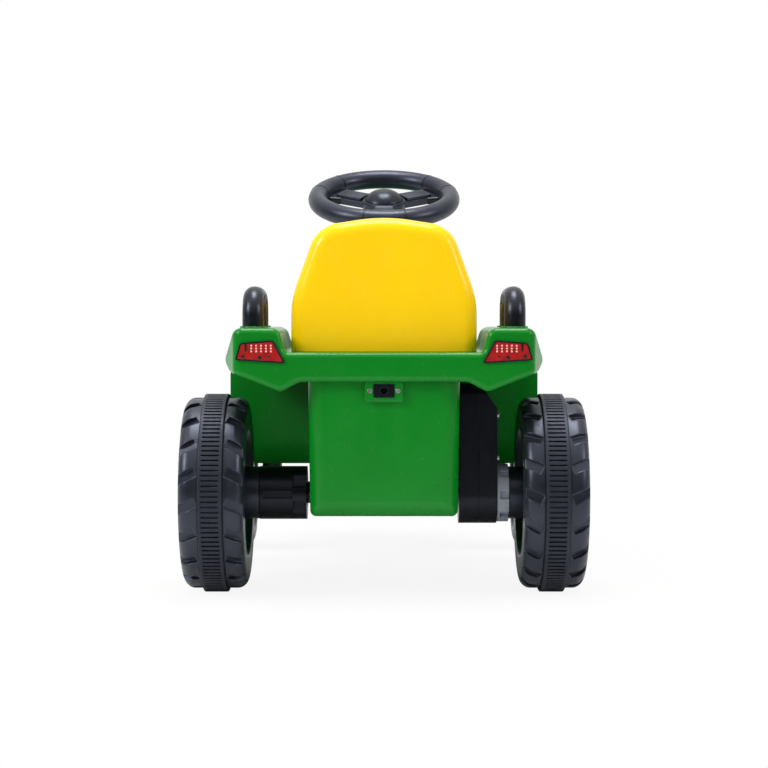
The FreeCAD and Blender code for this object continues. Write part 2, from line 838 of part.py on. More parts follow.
def bent_shell(name, profiles, opening, edge_round="0", wanted=None):
    """Moulded shell cut from its outlines in three views, with an even wall and one open side."""
    views = {}
    for depth, inset in (("outer", None), ("inner", "-wall")):
        slabs = []
        for plane, (corners, low, high) in profiles.items():
            drawing = doc.addObject("Sketcher::SketchObject", f"{name}_{depth}_{plane}_sketch")
            turn = {"XY": FreeCAD.Rotation(), "XZ": FreeCAD.Rotation(FreeCAD.Vector(1, 0, 0), 90),
                    "YZ": FreeCAD.Rotation(FreeCAD.Vector(1, 1, 1), 120)}[plane]
            drawing.Placement = FreeCAD.Placement(FreeCAD.Vector(), turn)
            axis = {"XY": "z", "XZ": "y", "YZ": "x"}[plane]
            drawing.setExpression(f"Placement.Base.{axis}", bind(low))
            draw_outline(drawing, corners)
            face = drawing
            if inset:
                face = doc.addObject("Part::Offset2D", f"{name}_{depth}_{plane}_face")
                face.Source = drawing
                face.Join = "Intersection"
                tie(face, Value=inset)
            slab = doc.addObject("Part::Extrusion", f"{name}_{depth}_{plane}_slab")
            slab.Base = face
            slab.DirMode = "Custom"
            slab.Dir = {"x": FreeCAD.Vector(1, 0, 0), "y": FreeCAD.Vector(0, 1, 0),
                        "z": FreeCAD.Vector(0, 0, 1)}[axis]
            slab.Solid = True
            tie(slab, LengthFwd=f"({high}) - ({low})")
            slabs.append(slab)
        views[depth] = doc.addObject("Part::MultiCommon", f"{name}_{depth}")
        views[depth].Shapes = slabs
        radius = number(f"{edge_round} {inset or ''}")
        if radius > 0:
            views[depth] = softened(f"{name}_{depth}_soft", views[depth], radius, wanted)
    shell = boolean("Cut", f"{name}_closed", views["outer"], views["inner"])
    return boolean("Cut", f"{name}_shell", shell, box(f"{name}_opening", *opening))


# Wheels: a hollow tyre with slanted lugs, a ribbed belt round its middle and a hubcap

def lug_grooves(end):
    """Slanted grooves that part the lugs on both shoulders of one tyre."""
    half_belt = number(f"{end}_belt_width / 2")
    reach = number(f"{end}_tyre_width / 2") - half_belt
    floor = number(f"{end}_wheel_radius - {end}_shoulder_drop - lug_depth")
    width = number("lug_groove_width")
    count = int(number(f"{end}_lug_count"))
    cutters = []
    for side, heading in ((1, -number("lug_slant")), (-1, 180 + number("lug_slant"))):
        for index in range(count):
            corner = FreeCAD.Vector(number("lug_land"), -width / 2, 0)
            cutter = Part.makeBox(2 * reach, width, 2 * reach, corner)
            cutter.rotate(FreeCAD.Vector(), FreeCAD.Vector(0, 1, 0), number("lug_fall"))
            cutter.rotate(FreeCAD.Vector(), FreeCAD.Vector(0, 0, 1), heading)
            cutter.translate(FreeCAD.Vector(side * half_belt, 0, floor))
            cutter.rotate(FreeCAD.Vector(), FreeCAD.Vector(1, 0, 0), 360 * index / count)
            cutters.append(cutter)
    tool = doc.addObject("Part::Feature", f"{end}_lug_grooves")
    tool.Shape = Part.makeCompound(cutters)
    return tool


def make_wheel(end, axle):
    """Left wheel of one axle, outboard side to -X, and its twin on the right."""
    radius = f"{end}_wheel_radius"
    half = f"{end}_tyre_width / 2"
    belt = f"{end}_belt_width / 2"
    rim = f"{end}_rim_radius"
    hub = f"{end}_hub_radius"
    boss = f"{end}_boss_radius"
    shoulder = f"{radius} - {end}_shoulder_drop"
    bore = "axle_radius + running_gap"
    floor = f"{half} - {end}_rim_depth"
    back = f"inner_recess - {half}"

    def at(u, r, *bend):
        return (f"-({u})", r, *bend)

    outside = [
        at(f"{floor} + hub_height", bore), at(f"{floor} + hub_height", hub), at(floor, hub), at(floor, rim),
        at(half, f"{rim} + rim_lip", "rim_round"), at(half, shoulder, "shoulder_round"), at(belt, shoulder),
        at(belt, f"{radius} - belt_height"), at(f"-{belt}", f"{radius} - belt_height"),
        at(f"-{belt}", shoulder),
        at(f"-({half})", shoulder, "shoulder_round"),
        at(f"-({half})", f"{rim} + rim_lip", "rim_round"), at(back, rim),
        at(back, boss), at(f"-({half}) - {end}_boss_length", boss),
        at(f"-({half}) - {end}_boss_length", bore),
    ]
    skin = "tyre_skin"
    hollow = [
        at(f"{floor} - {skin}", f"{boss} + {skin}"), at(f"{floor} - {skin}", f"{rim} + {skin}"),
        at(f"{half} - {skin}", f"{rim} + 2 * {skin}"), at(f"{half} - {skin}", f"{shoulder} - crown_depth"),
        at(f"{skin} - ({half})", f"{shoulder} - crown_depth"),
        at(f"{skin} - ({half})", f"{rim} + 2 * {skin}"),
        at(f"{back} + {skin}", f"{rim} + {skin}"), at(f"{back} + {skin}", f"{boss} + {skin}"),
    ]
    carcass = Moulding(f"{end}_carcass").spin([outside, hollow])
    tyre = boolean("Cut", f"{end}_tyre_left", carcass.body, lug_grooves(end))

    loose = "running_gap"
    band = Moulding(f"{end}_belt_left").spin([[
        at(f"{belt} - {loose}", f"{radius} - belt_height + {loose}"),
        at(f"{belt} - {loose}", radius, "belt_round"),
        at(f"{loose} - {belt}", radius, "belt_round"),
        at(f"{loose} - {belt}", f"{radius} - belt_height + {loose}"),
    ]])
    reach = f"{belt} - belt_rail"
    gap = f"pi * {radius} / {end}_rib_count * (1 - rib_share)"
    band.pocket("XY", f"{radius} - rib_depth", f"{radius} + overrun", [[
        (f"-({reach})", f"-({gap})"), (reach, f"-({gap})"), (reach, gap), (f"-({reach})", gap),
    ]])
    band.polar(f"{end}_rib_count", "X")

    under = f"{floor} + hub_height + nut_height + hubcap_nut_room"
    top = f"{under} + hubcap_skin"
    cap = Moulding(f"{end}_hubcap_left").spin([[
        at(floor, f"{rim} - hubcap_gap"), at(floor, f"{hub} + hubcap_flare"),
        at(under, f"{hub} - hubcap_crown_inset"), at(under, "0"), at(top, "0"),
        at(top, f"{hub} - hubcap_crown_inset / 2", "hubcap_round"),
        at(f"{floor} + hubcap_flare", f"{hub} + hubcap_dish_inset", "hubcap_round"),
        at(f"{floor} + hubcap_dish_height", f"{rim} - hubcap_dish_inset", "hubcap_round"),
        at(f"{floor} + hubcap_lip", f"{rim} - hubcap_dish_height", "belt_round"),
        at(f"{floor} + hubcap_lip", f"{rim} - hubcap_gap"),
    ]])
    ring = f"({hub} + {rim}) / 2"
    cap.pocket("YZ", f"-({top})", f"-({floor})",
               rounds=[("0", ring, f"({rim} - {hub} - 2 * hubcap_dish_inset) * hubcap_window_share")])
    cap.polar("hubcap_windows", "X")

    for piece, item in (("tyre", tyre), ("belt", band.body), ("hubcap", cap.body)):
        keep(f"{end}_{piece}_left", item, f"{ORIGIN_SHIFT} + {axle}", f"-{end}_track / 2", radius)
        twin(f"{end}_{piece}_right", item, axle)


make_wheel("rear", "0")
make_wheel("front", FRONT_AXLE)


# Chassis tub: the box under the seat, with a narrower spine that runs on to the nose

def rectangle(left, right, low, high, bend=None):
    """Corners of a rectangle, rounded alike if a radius is given."""
    tail = (bend,) if bend else ()
    return [(left, low, *tail), (right, low, *tail), (right, high, *tail), (left, high, *tail)]


def vertical_at(depth):
    """Test for the upright edges that lie at one depth."""
    level = number(depth)

    def wanted(edge):
        span = edge.BoundBox
        upright = span.ZLength > span.XLength and span.YLength < 0.01
        return upright and abs(edge.CenterOfMass.y - level) < 0.01
    return wanted


def make_tub():
    """Open-topped tub with the socket frame, axle holes and the opening for the motor."""
    tub = Moulding("chassis_tub")
    tub.pad("XZ", "-tub_back", "tub_front", [[
        ("-tub_half_bottom", "tub_bottom", "tub_foot_round"),
        ("tub_half_bottom", "tub_bottom", "tub_foot_round"),
        ("tub_half_top", "tub_top"), ("-tub_half_top", "tub_top"),
    ]])
    tub.pocket("XZ", "wall - tub_back", "tub_front - wall", [[
        ("wall - tub_half_bottom", TUB_FLOOR, "tub_foot_round - wall"),
        ("tub_half_bottom - wall", TUB_FLOOR, "tub_foot_round - wall"),
        ("tub_half_top - wall", "tub_top + overrun"), ("wall - tub_half_top", "tub_top + overrun"),
    ]])
    tub.round_edges("tub_corner - wall", vertical_at("wall - tub_back"))
    tub.round_edges("tub_corner", vertical_at("-tub_back"))
    tub.pad("XZ", "tub_front - wall", "spine_front",
            [rectangle("-spine_half", "spine_half", "spine_bottom", "tub_top")])
    tub.pocket("XZ", "tub_front", "spine_front - wall",
               [rectangle("wall - spine_half", "spine_half - wall", "spine_bottom + wall",
                          "tub_top + overrun")])
    frame_half = "socket_frame_width / 2"
    frame_low = "socket_height - socket_tall / 2 - socket_frame_border"
    tub.pad("XZ", "-tub_back - socket_frame_reach", "-tub_back", [[
        (f"-{frame_half}", frame_low, "socket_frame_round"), (frame_half, frame_low, "socket_frame_round"),
        (frame_half, "bumper_bottom + socket_frame_tuck"),
        (f"-{frame_half}", "bumper_bottom + socket_frame_tuck"),
    ]])
    tub.pocket("XZ", "-tub_back - socket_frame_reach", "wall - tub_back", [
        rectangle("-socket_width / 2 - screw_gap", "socket_width / 2 + screw_gap",
                  "socket_height - socket_tall / 2 - screw_gap",
                  "socket_height + socket_tall / 2 + screw_gap")])
    holes = [(f"{side}socket_screw_pitch / 2", "socket_height", "socket_shank_radius + screw_gap")
             for side in ("-", "")]
    tub.pocket("XZ", "-tub_back - socket_frame_reach", "wall - tub_back", rounds=holes)
    bore = [("0", "rear_wheel_radius", "axle_radius + screw_gap")]
    tub.pocket("YZ", "-tub_half_top", "tub_half_top", rounds=bore)
    tub.pocket("YZ", "0", "tub_half_top", rounds=[("0", MOTOR_AXIS, "motor_radius + seat_gap")])
    tub.pocket("XY", "spine_bottom", "spine_bottom + wall",
               rounds=[("0", COLUMN_AT_SPINE, "bush_flange_radius")])
    notch = "column_radius + column_room"
    tub.pocket("XZ", "tub_front - wall", "tub_front",
               [rectangle(f"-({notch})", notch, "tub_top - column_notch", "tub_top + overrun")])
    tub.pocket("YZ", "-tub_half_top", "tub_half_top", rounds=[
        (place, "body_screw_height", "body_screw_radius + screw_gap") for place in SCREW_PLACES])
    keep("chassis_tub", tub.body)




# Rear body: bumper, deck under the seat and the two fenders in one moulding

def make_rear_body():
    right = [
        ("bumper_half", "bumper_bottom", "fender_round"), ("fender_tip_half", "fender_tip", "fender_round"),
        ("fender_low_half", "fender_low", "fender_round"), ("fender_half", "fender_mid", "fender_round"),
        ("fender_top_half", "fender_top", "fender_round"),
        ("fender_inner_half", "fender_top", "fender_round"),
        ("fender_inner_half - fender_inner_lean", "deck_height", "deck_round"),
    ]
    left = [(f"-({x})", *rest) for x, *rest in reversed(right)]
    side = [
        ("-body_back", "fender_tip - overrun"), ("fender_front", "fender_tip - overrun"),
        ("fender_front", "fender_brow", "fender_brow_round"),
        ("fender_crest_end", "fender_top + overrun", "fender_brow_round"),
        ("-body_back", "fender_top + overrun"),
    ]
    plan_right = [("fender_top_half", "-body_back", "body_corner"),
                  ("fender_half + overrun", "-body_back / 2", "body_sweep"),
                  ("fender_half + overrun", "fender_front")]
    plan = [(f"-({x})", *rest) for x, *rest in reversed(plan_right)]
    shell = bent_shell("rear_body", {
        "XZ": (right + left, "-body_back - overrun", "fender_front + overrun"),
        "YZ": (side, "-fender_half - 2 * overrun", "fender_half + 2 * overrun"),
        "XY": (plan + plan_right, "fender_tip - 2 * overrun", "fender_top + 2 * overrun"),
    }, (("wall + shell_lip - fender_low_half", "fender_low_half - wall - shell_lip"),
        ("shell_lip - body_back", "fender_front - wall"), ("fender_tip - overrun", "fender_low + shell_lip")),
        "body_edge_round", lambda ends: max(end.y for end in ends) < number("-body_back / 3"))
    tub_room = box("rear_body_tub_room", ("-tub_half_top - seat_gap", "tub_half_top + seat_gap"),
                   ("shell_lip - body_back", "fender_front + overrun"),
                   ("fender_tip - overrun", "deck_height - wall"))
    shell = boolean("Cut", "rear_body_over_tub", shell, tub_room)
    cover = box("spine_cover", ("-tub_half_top", "tub_half_top"), ("0", "dash_back"),
                ("deck_height - wall", "deck_height"))
    bosses = [rod(f"handle_boss_{name}", "handle_tube_radius + handle_boss_margin", "fender_top - wall",
                  HANDLE_SEAT,
                  x=f"{sign}handle_offset", y=place)
              for sign, name, place in (("", "a", "handle_rear"), ("", "b", "handle_front"),
                                        ("-", "c", "handle_rear"), ("-", "d", "handle_front"))]
    keep("rear_body", join("rear_body_whole", [shell, cover, *bosses]))


def make_step_panel(label, side, ribs):
    """Footboard and arch wall on one side of the tub."""
    def across(expression):
        return f"{side}({expression})"

    def span(near, far):
        return (near, far) if side == "" else (across(far), across(near))

    panel = Moulding(label)
    back = f"{ARCH_WALL} - step_thick"
    panel.pad("XZ", back, ARCH_WALL, [[
        (across("tub_half_top"), "step_bottom"), (across("step_half"), "step_bottom"),
        (across("step_half"), "fender_low - arch_gap", "arch_round"),
        (across("fender_low_half - arch_inset"), "fender_low - arch_gap", "arch_round"),
        (across("fender_low_half - arch_inset"), "arch_wall_top", "arch_round"),
        (across("tub_half_top"), "arch_wall_top"),
    ]])
    panel.pad("XY", "step_bottom", STEP_FLOOR, [[
        (across("tub_half_top"), back), (across("step_half"), back),
        (across("step_half"), "step_front", "step_corner"), (across("tub_half_top"), "step_front"),
    ]])
    panel.pad("XY", STEP_FLOOR, f"{STEP_FLOOR} + step_lip",
              [rectangle(*span("step_half - step_thick", "step_half"), back, "step_front - step_corner")])
    first_rib = "fender_front + step_rib_start"
    panel.pad("XY", STEP_FLOOR, f"{STEP_FLOOR} + step_rib", [rectangle(
        *span("tub_half_top + step_rib_margin", "step_half - step_thick - step_rib_margin"), first_rib,
        f"{first_rib} + step_rib_width")])
    panel.row(ribs, f"step_rib_pitch * ({ribs} - 1)", "Y")
    return panel


def make_step_panels():
    """Left footboard, and the right one with the lugs that carry the pedal."""
    keep("step_panel_left", make_step_panel("step_panel_left", "-", "step_ribs_left").body)
    panel = make_step_panel("step_panel_right", "", "step_ribs_right")
    lug_top = f"{PEDAL_AXIS} + pedal_lug_rise"
    outer = f"({PEDAL_LUG} + pedal_lug_thick)"
    for low, high in ((f"pedal_place - {outer}", f"pedal_place - {PEDAL_LUG}"),
                      (f"pedal_place + {PEDAL_LUG}", f"pedal_place + {outer}")):
        panel.pad("YZ", low, high, [[
            ("pedal_heel - pedal_lug_half", STEP_FLOOR), ("pedal_heel + pedal_lug_half", STEP_FLOOR),
            ("pedal_heel + pedal_lug_half", lug_top, "pedal_lug_round"),
            ("pedal_heel - pedal_lug_half", lug_top, "pedal_lug_round"),
        ]])
    panel.pocket("YZ", f"pedal_place - {outer}", f"pedal_place + {outer}",
                 rounds=[("pedal_heel", PEDAL_AXIS, "pedal_pin_radius + running_gap")])
    keep("step_panel_right", panel.body)


def make_seat():
    """One moulded shell with a back rest and a cushion form, open underneath."""
    outline = [
        ("-seat_half", "deck_height"), ("seat_half", "deck_height"),
        ("seat_half", "seat_bend_height", "seat_bend_round"),
        ("seat_shoulder_half", "seat_shoulder", "seat_shoulder_round"), ("0", "seat_top", "seat_crown_round"),
        ("-seat_shoulder_half", "seat_shoulder", "seat_shoulder_round"),
        ("-seat_half", "seat_bend_height", "seat_bend_round"),
    ]
    rest_front = "seat_back_thick - seat_back"
    side = [
        ("seat_foot_inset - seat_back", "deck_height"), ("seat_front", "deck_height"),
        ("seat_front", "seat_cushion_top", "seat_edge_round"),
        (f"{rest_front} + seat_crease_run", "seat_cushion_top - seat_crease_drop", "seat_crease_round"),
        (f"{rest_front} - seat_rake", "seat_top + overrun", "seat_top_round"),
        ("-seat_back - seat_back_lean", "seat_top + overrun", "seat_top_round"),
        ("-seat_back", "seat_cushion_top", "seat_back_round"),
    ]
    rear = "-seat_back - seat_back_lean - overrun"
    plan_right = [("seat_half + overrun", rear),
                  ("seat_half + overrun", "seat_front - seat_front_run", "seat_back_round"),
                  ("seat_half - seat_front_inset", "seat_front", "seat_front_round")]
    plan = plan_right + [(f"-({x})", *rest) for x, *rest in reversed(plan_right)]
    shell = bent_shell("seat", {
        "XZ": (outline, f"{rear} - overrun", "seat_front + overrun"),
        "YZ": (side, "-seat_half - 2 * overrun", "seat_half + 2 * overrun"),
        "XY": (plan, "deck_height - overrun", "seat_top + 2 * overrun"),
    }, (("shell_lip - seat_half", "seat_half - shell_lip"),
        ("shell_lip - seat_back + seat_foot_inset", "seat_front - shell_lip"),
        ("deck_height - overrun", "deck_height + wall + overrun")),
        "seat_edge_round", lambda ends: max(end.z for end in ends) > number("deck_height + wall + overrun"))
    keep("seat", shell)


def make_handles():
    """Grab handle of bent tube on the crest of each fender."""
    handle = Moulding("grab_handle_right")
    ring = handle.sketch("XY", rounds=[("handle_offset", "handle_rear", "handle_tube_radius")],
                         offset=HANDLE_SEAT)
    path = handle.sketch("YZ", offset="handle_offset")
    top = "handle_top - handle_tube_radius"
    spots = [("handle_rear", HANDLE_SEAT), ("handle_rear", top), ("handle_front", top),
             ("handle_front", HANDLE_SEAT)]
    draw_open_path(path, spots, "handle_bend")
    pipe = handle.feature("AdditivePipe", ring)
    pipe.Spine = (path, [])
    keep("grab_handle_right", handle.body)
    mirrored("grab_handle_left", handle.body)


def draw_open_path(sketch, spots, bend):
    """Draw straight runs joined by equal tangent arcs, open at both ends."""
    points, arcs = corner_arcs([(*spot, bend) for spot in spots])
    begins = [points[0]] + [arc[1] for arc in arcs[1:-1]]
    ends = [arc[0] for arc in arcs[1:-1]] + [points[-1]]
    runs = [sketch.addGeometry(Part.LineSegment(a, b)) for a, b in zip(begins, ends)]
    hold_point(sketch, runs[0], 1, *spots[0])
    hold_point(sketch, runs[-1], 2, *spots[-1])
    for index, (begin, end, centre, radius, left_turn) in enumerate(arcs[1:-1]):
        first, last = (begin, end) if left_turn else (end, begin)
        angles = [math.atan2(spot.y - centre.y, spot.x - centre.x) for spot in (first, last)]
        circle = Part.Circle(centre, FreeCAD.Vector(0, 0, 1), radius)
        arc = sketch.addGeometry(Part.ArcOfCircle(circle, angles[0], angles[1]))
        corner = sketch.addGeometry(Part.Point(points[index + 1]), True)
        sketch.addConstraint(Sketcher.Constraint("Tangent", runs[index], 2, arc, 1 if left_turn else 2))
        sketch.addConstraint(Sketcher.Constraint("Tangent", runs[index + 1], 1, arc, 2 if left_turn else 1))
        sketch.addConstraint(Sketcher.Constraint("PointOnObject", corner, 1, runs[index]))
        sketch.addConstraint(Sketcher.Constraint("PointOnObject", corner, 1, runs[index + 1]))
        hold_point(sketch, corner, 1, *spots[index + 1])
        hold_radius(sketch, arc, bend)


def make_tail_lamps():
    """Flat red lens on the back of each fender."""
    lens = Moulding("tail_lamp_right")
    lens.pad("XZ", "-body_back - lamp_thick", "-body_back", [[
        ("lamp_inner_low", "lamp_low", "lamp_round"),
        ("lamp_outer_low", "lamp_low + lamp_outer_rise", "lamp_round"),
        ("lamp_outer_top", "lamp_top - lamp_outer_fall", "lamp_round"),
        ("lamp_inner_top", "lamp_top", "lamp_round"),
    ]])
    keep("tail_lamp_right", lens.body)
    mirrored("tail_lamp_left", lens.body)


def make_socket():
    """Charging socket in the back of the tub, with its two screws."""
    socket = Moulding("charging_socket")
    face = "-tub_back - socket_frame_reach"
    socket.pad("XZ", f"{face} - socket_stand", f"{face} + socket_depth", [
        rectangle("-socket_width / 2", "socket_width / 2", "socket_height - socket_tall / 2",
                  "socket_height + socket_tall / 2", "socket_round")])
    socket.pocket("XZ", f"{face} - socket_stand", f"{face} + socket_depth - socket_back",
                  rounds=[("0", "socket_height", "plug_hole_radius")])
    socket.pad("XZ", f"{face} + plug_pin_set_back", f"{face} + socket_depth - socket_back / 2",
               rounds=[("0", "socket_height", "plug_pin_radius")])
    keep("charging_socket", socket.body)
    screws = []
    for name, side in SIDES:
        place = {"x": f"{side}socket_screw_pitch / 2", "z": "socket_height"}
        head = rod(f"socket_screw_head_{name}", "socket_screw_radius", f"{face} - socket_screw_head", face,
                   "Y", **place)
        shank = rod(f"socket_screw_shank_{name}", "socket_shank_radius", f"{face} - socket_screw_head / 2",
                    "wall - tub_back + socket_screw_reach", "Y", **place)
        screws.append(join(f"socket_screw_{name}", [head, shank]))
    keep("socket_screws", group("socket_screw_pair", screws))


make_tub()
make_rear_body()
make_step_panels()
make_seat()
make_handles()
make_tail_lamps()
make_socket()


# Drive: battery, motor, gear train in its two-part case, axle and spacer

def make_battery():
    """Sealed battery on the tub floor, with terminals, under a steel strap."""
    depth = ("battery_place", "battery_place + battery_width")
    top = f"{TUB_FLOOR} + battery_height"
    block = Moulding("battery").pad("XY", TUB_FLOOR, top, [
        rectangle("-battery_length / 2", "battery_length / 2", *depth, "battery_round")])
    for side in ("-", ""):
        middle = f"{side}(battery_length / 2 - terminal_inset)"
        block.pad("XY", top, f"{top} + terminal_height", [rectangle(
            f"{middle} - terminal_half", f"{middle} + terminal_half", f"{depth[0]} + terminal_back",
            f"{depth[0]} + terminal_back + terminal_thick")])
    keep("battery", block.body)
    half = "strap_width / 2"
    band = Moulding("battery_strap").pad("YZ", f"-{half}", half, [[
        (f"{depth[0]} - strap_thick", TUB_FLOOR), (depth[0], TUB_FLOOR), (depth[0], top), (depth[1], top),
        (depth[1], TUB_FLOOR), (f"{depth[1]} + strap_foot", TUB_FLOOR),
        (f"{depth[1]} + strap_foot", f"{TUB_FLOOR} + strap_thick"),
        (f"{depth[1]} + strap_thick", f"{TUB_FLOOR} + strap_thick"),
        (f"{depth[1]} + strap_thick", f"{top} + strap_thick", "strap_round"),
        (f"{depth[0]} - strap_thick", f"{top} + strap_thick", "strap_round"),
    ]])
    keep("battery_strap", band.body)


def gear_wire(teeth, backlash):
    """Closed outline of a stub-tooth involute gear, centred on X, in the YZ plane."""
    module = number("gear_module")
    pressure = math.radians(number("gear_pressure"))
    pitch = module * teeth / 2
    base = pitch * math.cos(pressure)
    tip = pitch + number("gear_tip_share") * module
    root = pitch - number("gear_root_share") * module
    half_pitch_angle = math.pi / (2 * teeth) - backlash / (4 * pitch)
    involute_pitch = math.tan(pressure) - pressure

    def flank(radius):
        roll = math.acos(min(1.0, base / radius))
        return half_pitch_angle + involute_pitch - (math.tan(roll) - roll)

    def spot(radius, angle):
        return FreeCAD.Vector(0, radius * math.sin(angle), radius * math.cos(angle))

    start = max(base, root)
    radii = [start + (tip - start) * step / 3 for step in range(4)]
    edges = []
    for tooth in range(teeth):
        middle = 2 * math.pi * tooth / teeth
        left = [spot(r, middle - flank(r)) for r in radii]
        right = [spot(r, middle + flank(r)) for r in reversed(radii)]
        next_left = spot(radii[0], middle + 2 * math.pi / teeth - flank(radii[0]))
        low_right = spot(root, middle + flank(radii[0]))
        low_left = spot(root, middle + 2 * math.pi / teeth - flank(radii[0]))
        for side in (left, right):
            curve = Part.BSplineCurve()
            curve.interpolate(side)
            edges.append(curve.toShape())
            if side is left:
                edges.append(Part.makeLine(left[-1], right[0]))
        if root < start:
            edges.append(Part.makeLine(right[-1], low_right))
        edges.append(Part.makeLine(low_right, low_left))
        if root < start:
            edges.append(Part.makeLine(low_left, next_left))
    return Part.Wire(edges)


def barrel(radius, low, high):
    """Cylinder between two levels along X."""
    return Part.makeCylinder(number(radius), number(high) - number(low), FreeCAD.Vector(number(low), 0, 0),
                             FreeCAD.Vector(1, 0, 0))


def gear_disc(teeth, low, high):
    """Gear between two levels along X."""
    disc = Part.Face(gear_wire(int(number(teeth)), number("gear_backlash")))
    disc.translate(FreeCAD.Vector(number(low), 0, 0))
    return disc.extrude(FreeCAD.Vector(number(high) - number(low), 0, 0))


def mesh_phase(lower_phase, lower_teeth, upper_teeth):
    """Turn, in radians, that sets a gear's gap on the tooth of the gear straight below it."""
    lower_share = lower_phase * lower_teeth / (2 * math.pi)
    return math.pi - (lower_share + 0.5) * 2 * math.pi / upper_teeth


def make_gear(label, axis, stages, bore, extras=(), phase=0.0):
    """Gear cluster on one axis, turned so that its teeth mesh with the cluster below."""
    solids = [gear_disc(*stage) for stage in stages] + [barrel(*extra) for extra in extras]
    shape = solids[0]
    for solid in solids[1:]:
        shape = shape.fuse(solid)
    if bore:
        shape = shape.cut(barrel(bore, "gearbox_inner_face", "gearbox_outer_face + gear_layer"))
    shape = shape.removeSplitter()
    shape.rotate(FreeCAD.Vector(), FreeCAD.Vector(1, 0, 0), -math.degrees(phase))
    item = doc.addObject("Part::Feature", label)
    item.Shape = shape
    return keep(label, item, ORIGIN_SHIFT, "0", axis)


def make_gear_train():
    shaft = "shaft_radius + running_gap"
    small = int(number("pinion_teeth"))
    large = int(number("wheel_teeth"))
    second_phase = mesh_phase(0.0, int(number("output_teeth")), small)
    first_phase = mesh_phase(second_phase, large, small)
    motor_phase = mesh_phase(first_phase, large, small)
    make_gear("output_gear", "rear_wheel_radius", [("output_teeth", LAYER_THREE, LAYER_END)],
              "axle_radius + running_gap", [("neck_radius", LAYER_END, "gearbox_outer_face + seat_gap")])
    make_gear("second_gear", SECOND_AXIS, [("wheel_teeth", LAYER_TWO, f"{LAYER_TWO} + gear_face"),
                                            ("pinion_teeth", LAYER_THREE, LAYER_END)], shaft,
              [("shaft_radius + gear_sleeve_wall", f"{LAYER_TWO} + gear_face", LAYER_THREE)], second_phase)
    make_gear("first_gear", FIRST_AXIS, [("wheel_teeth", LAYER_ONE, f"{LAYER_ONE} + gear_face"),
                                          ("pinion_teeth", LAYER_TWO, f"{LAYER_TWO} + gear_face")], shaft,
              [("shaft_radius + gear_sleeve_wall", f"{LAYER_ONE} + gear_face", LAYER_TWO)], first_phase)
    make_gear("motor_pinion", MOTOR_AXIS, [("pinion_teeth", LAYER_ONE, f"{LAYER_ONE} + gear_face")], None,
              [("motor_shaft_radius", "gearbox_inner_face - motor_length / 2", LAYER_ONE)], motor_phase)
    pins = [rod(f"gear_shaft_{name}", "shaft_radius", "gearbox_inner_face + gear_side_gap",
                "gearbox_outer_face - gear_side_gap",
                "X", z=axis) for name, axis in (("first", FIRST_AXIS), ("second", SECOND_AXIS))]
    keep("gear_shafts", group("gear_shaft_pair", pins))


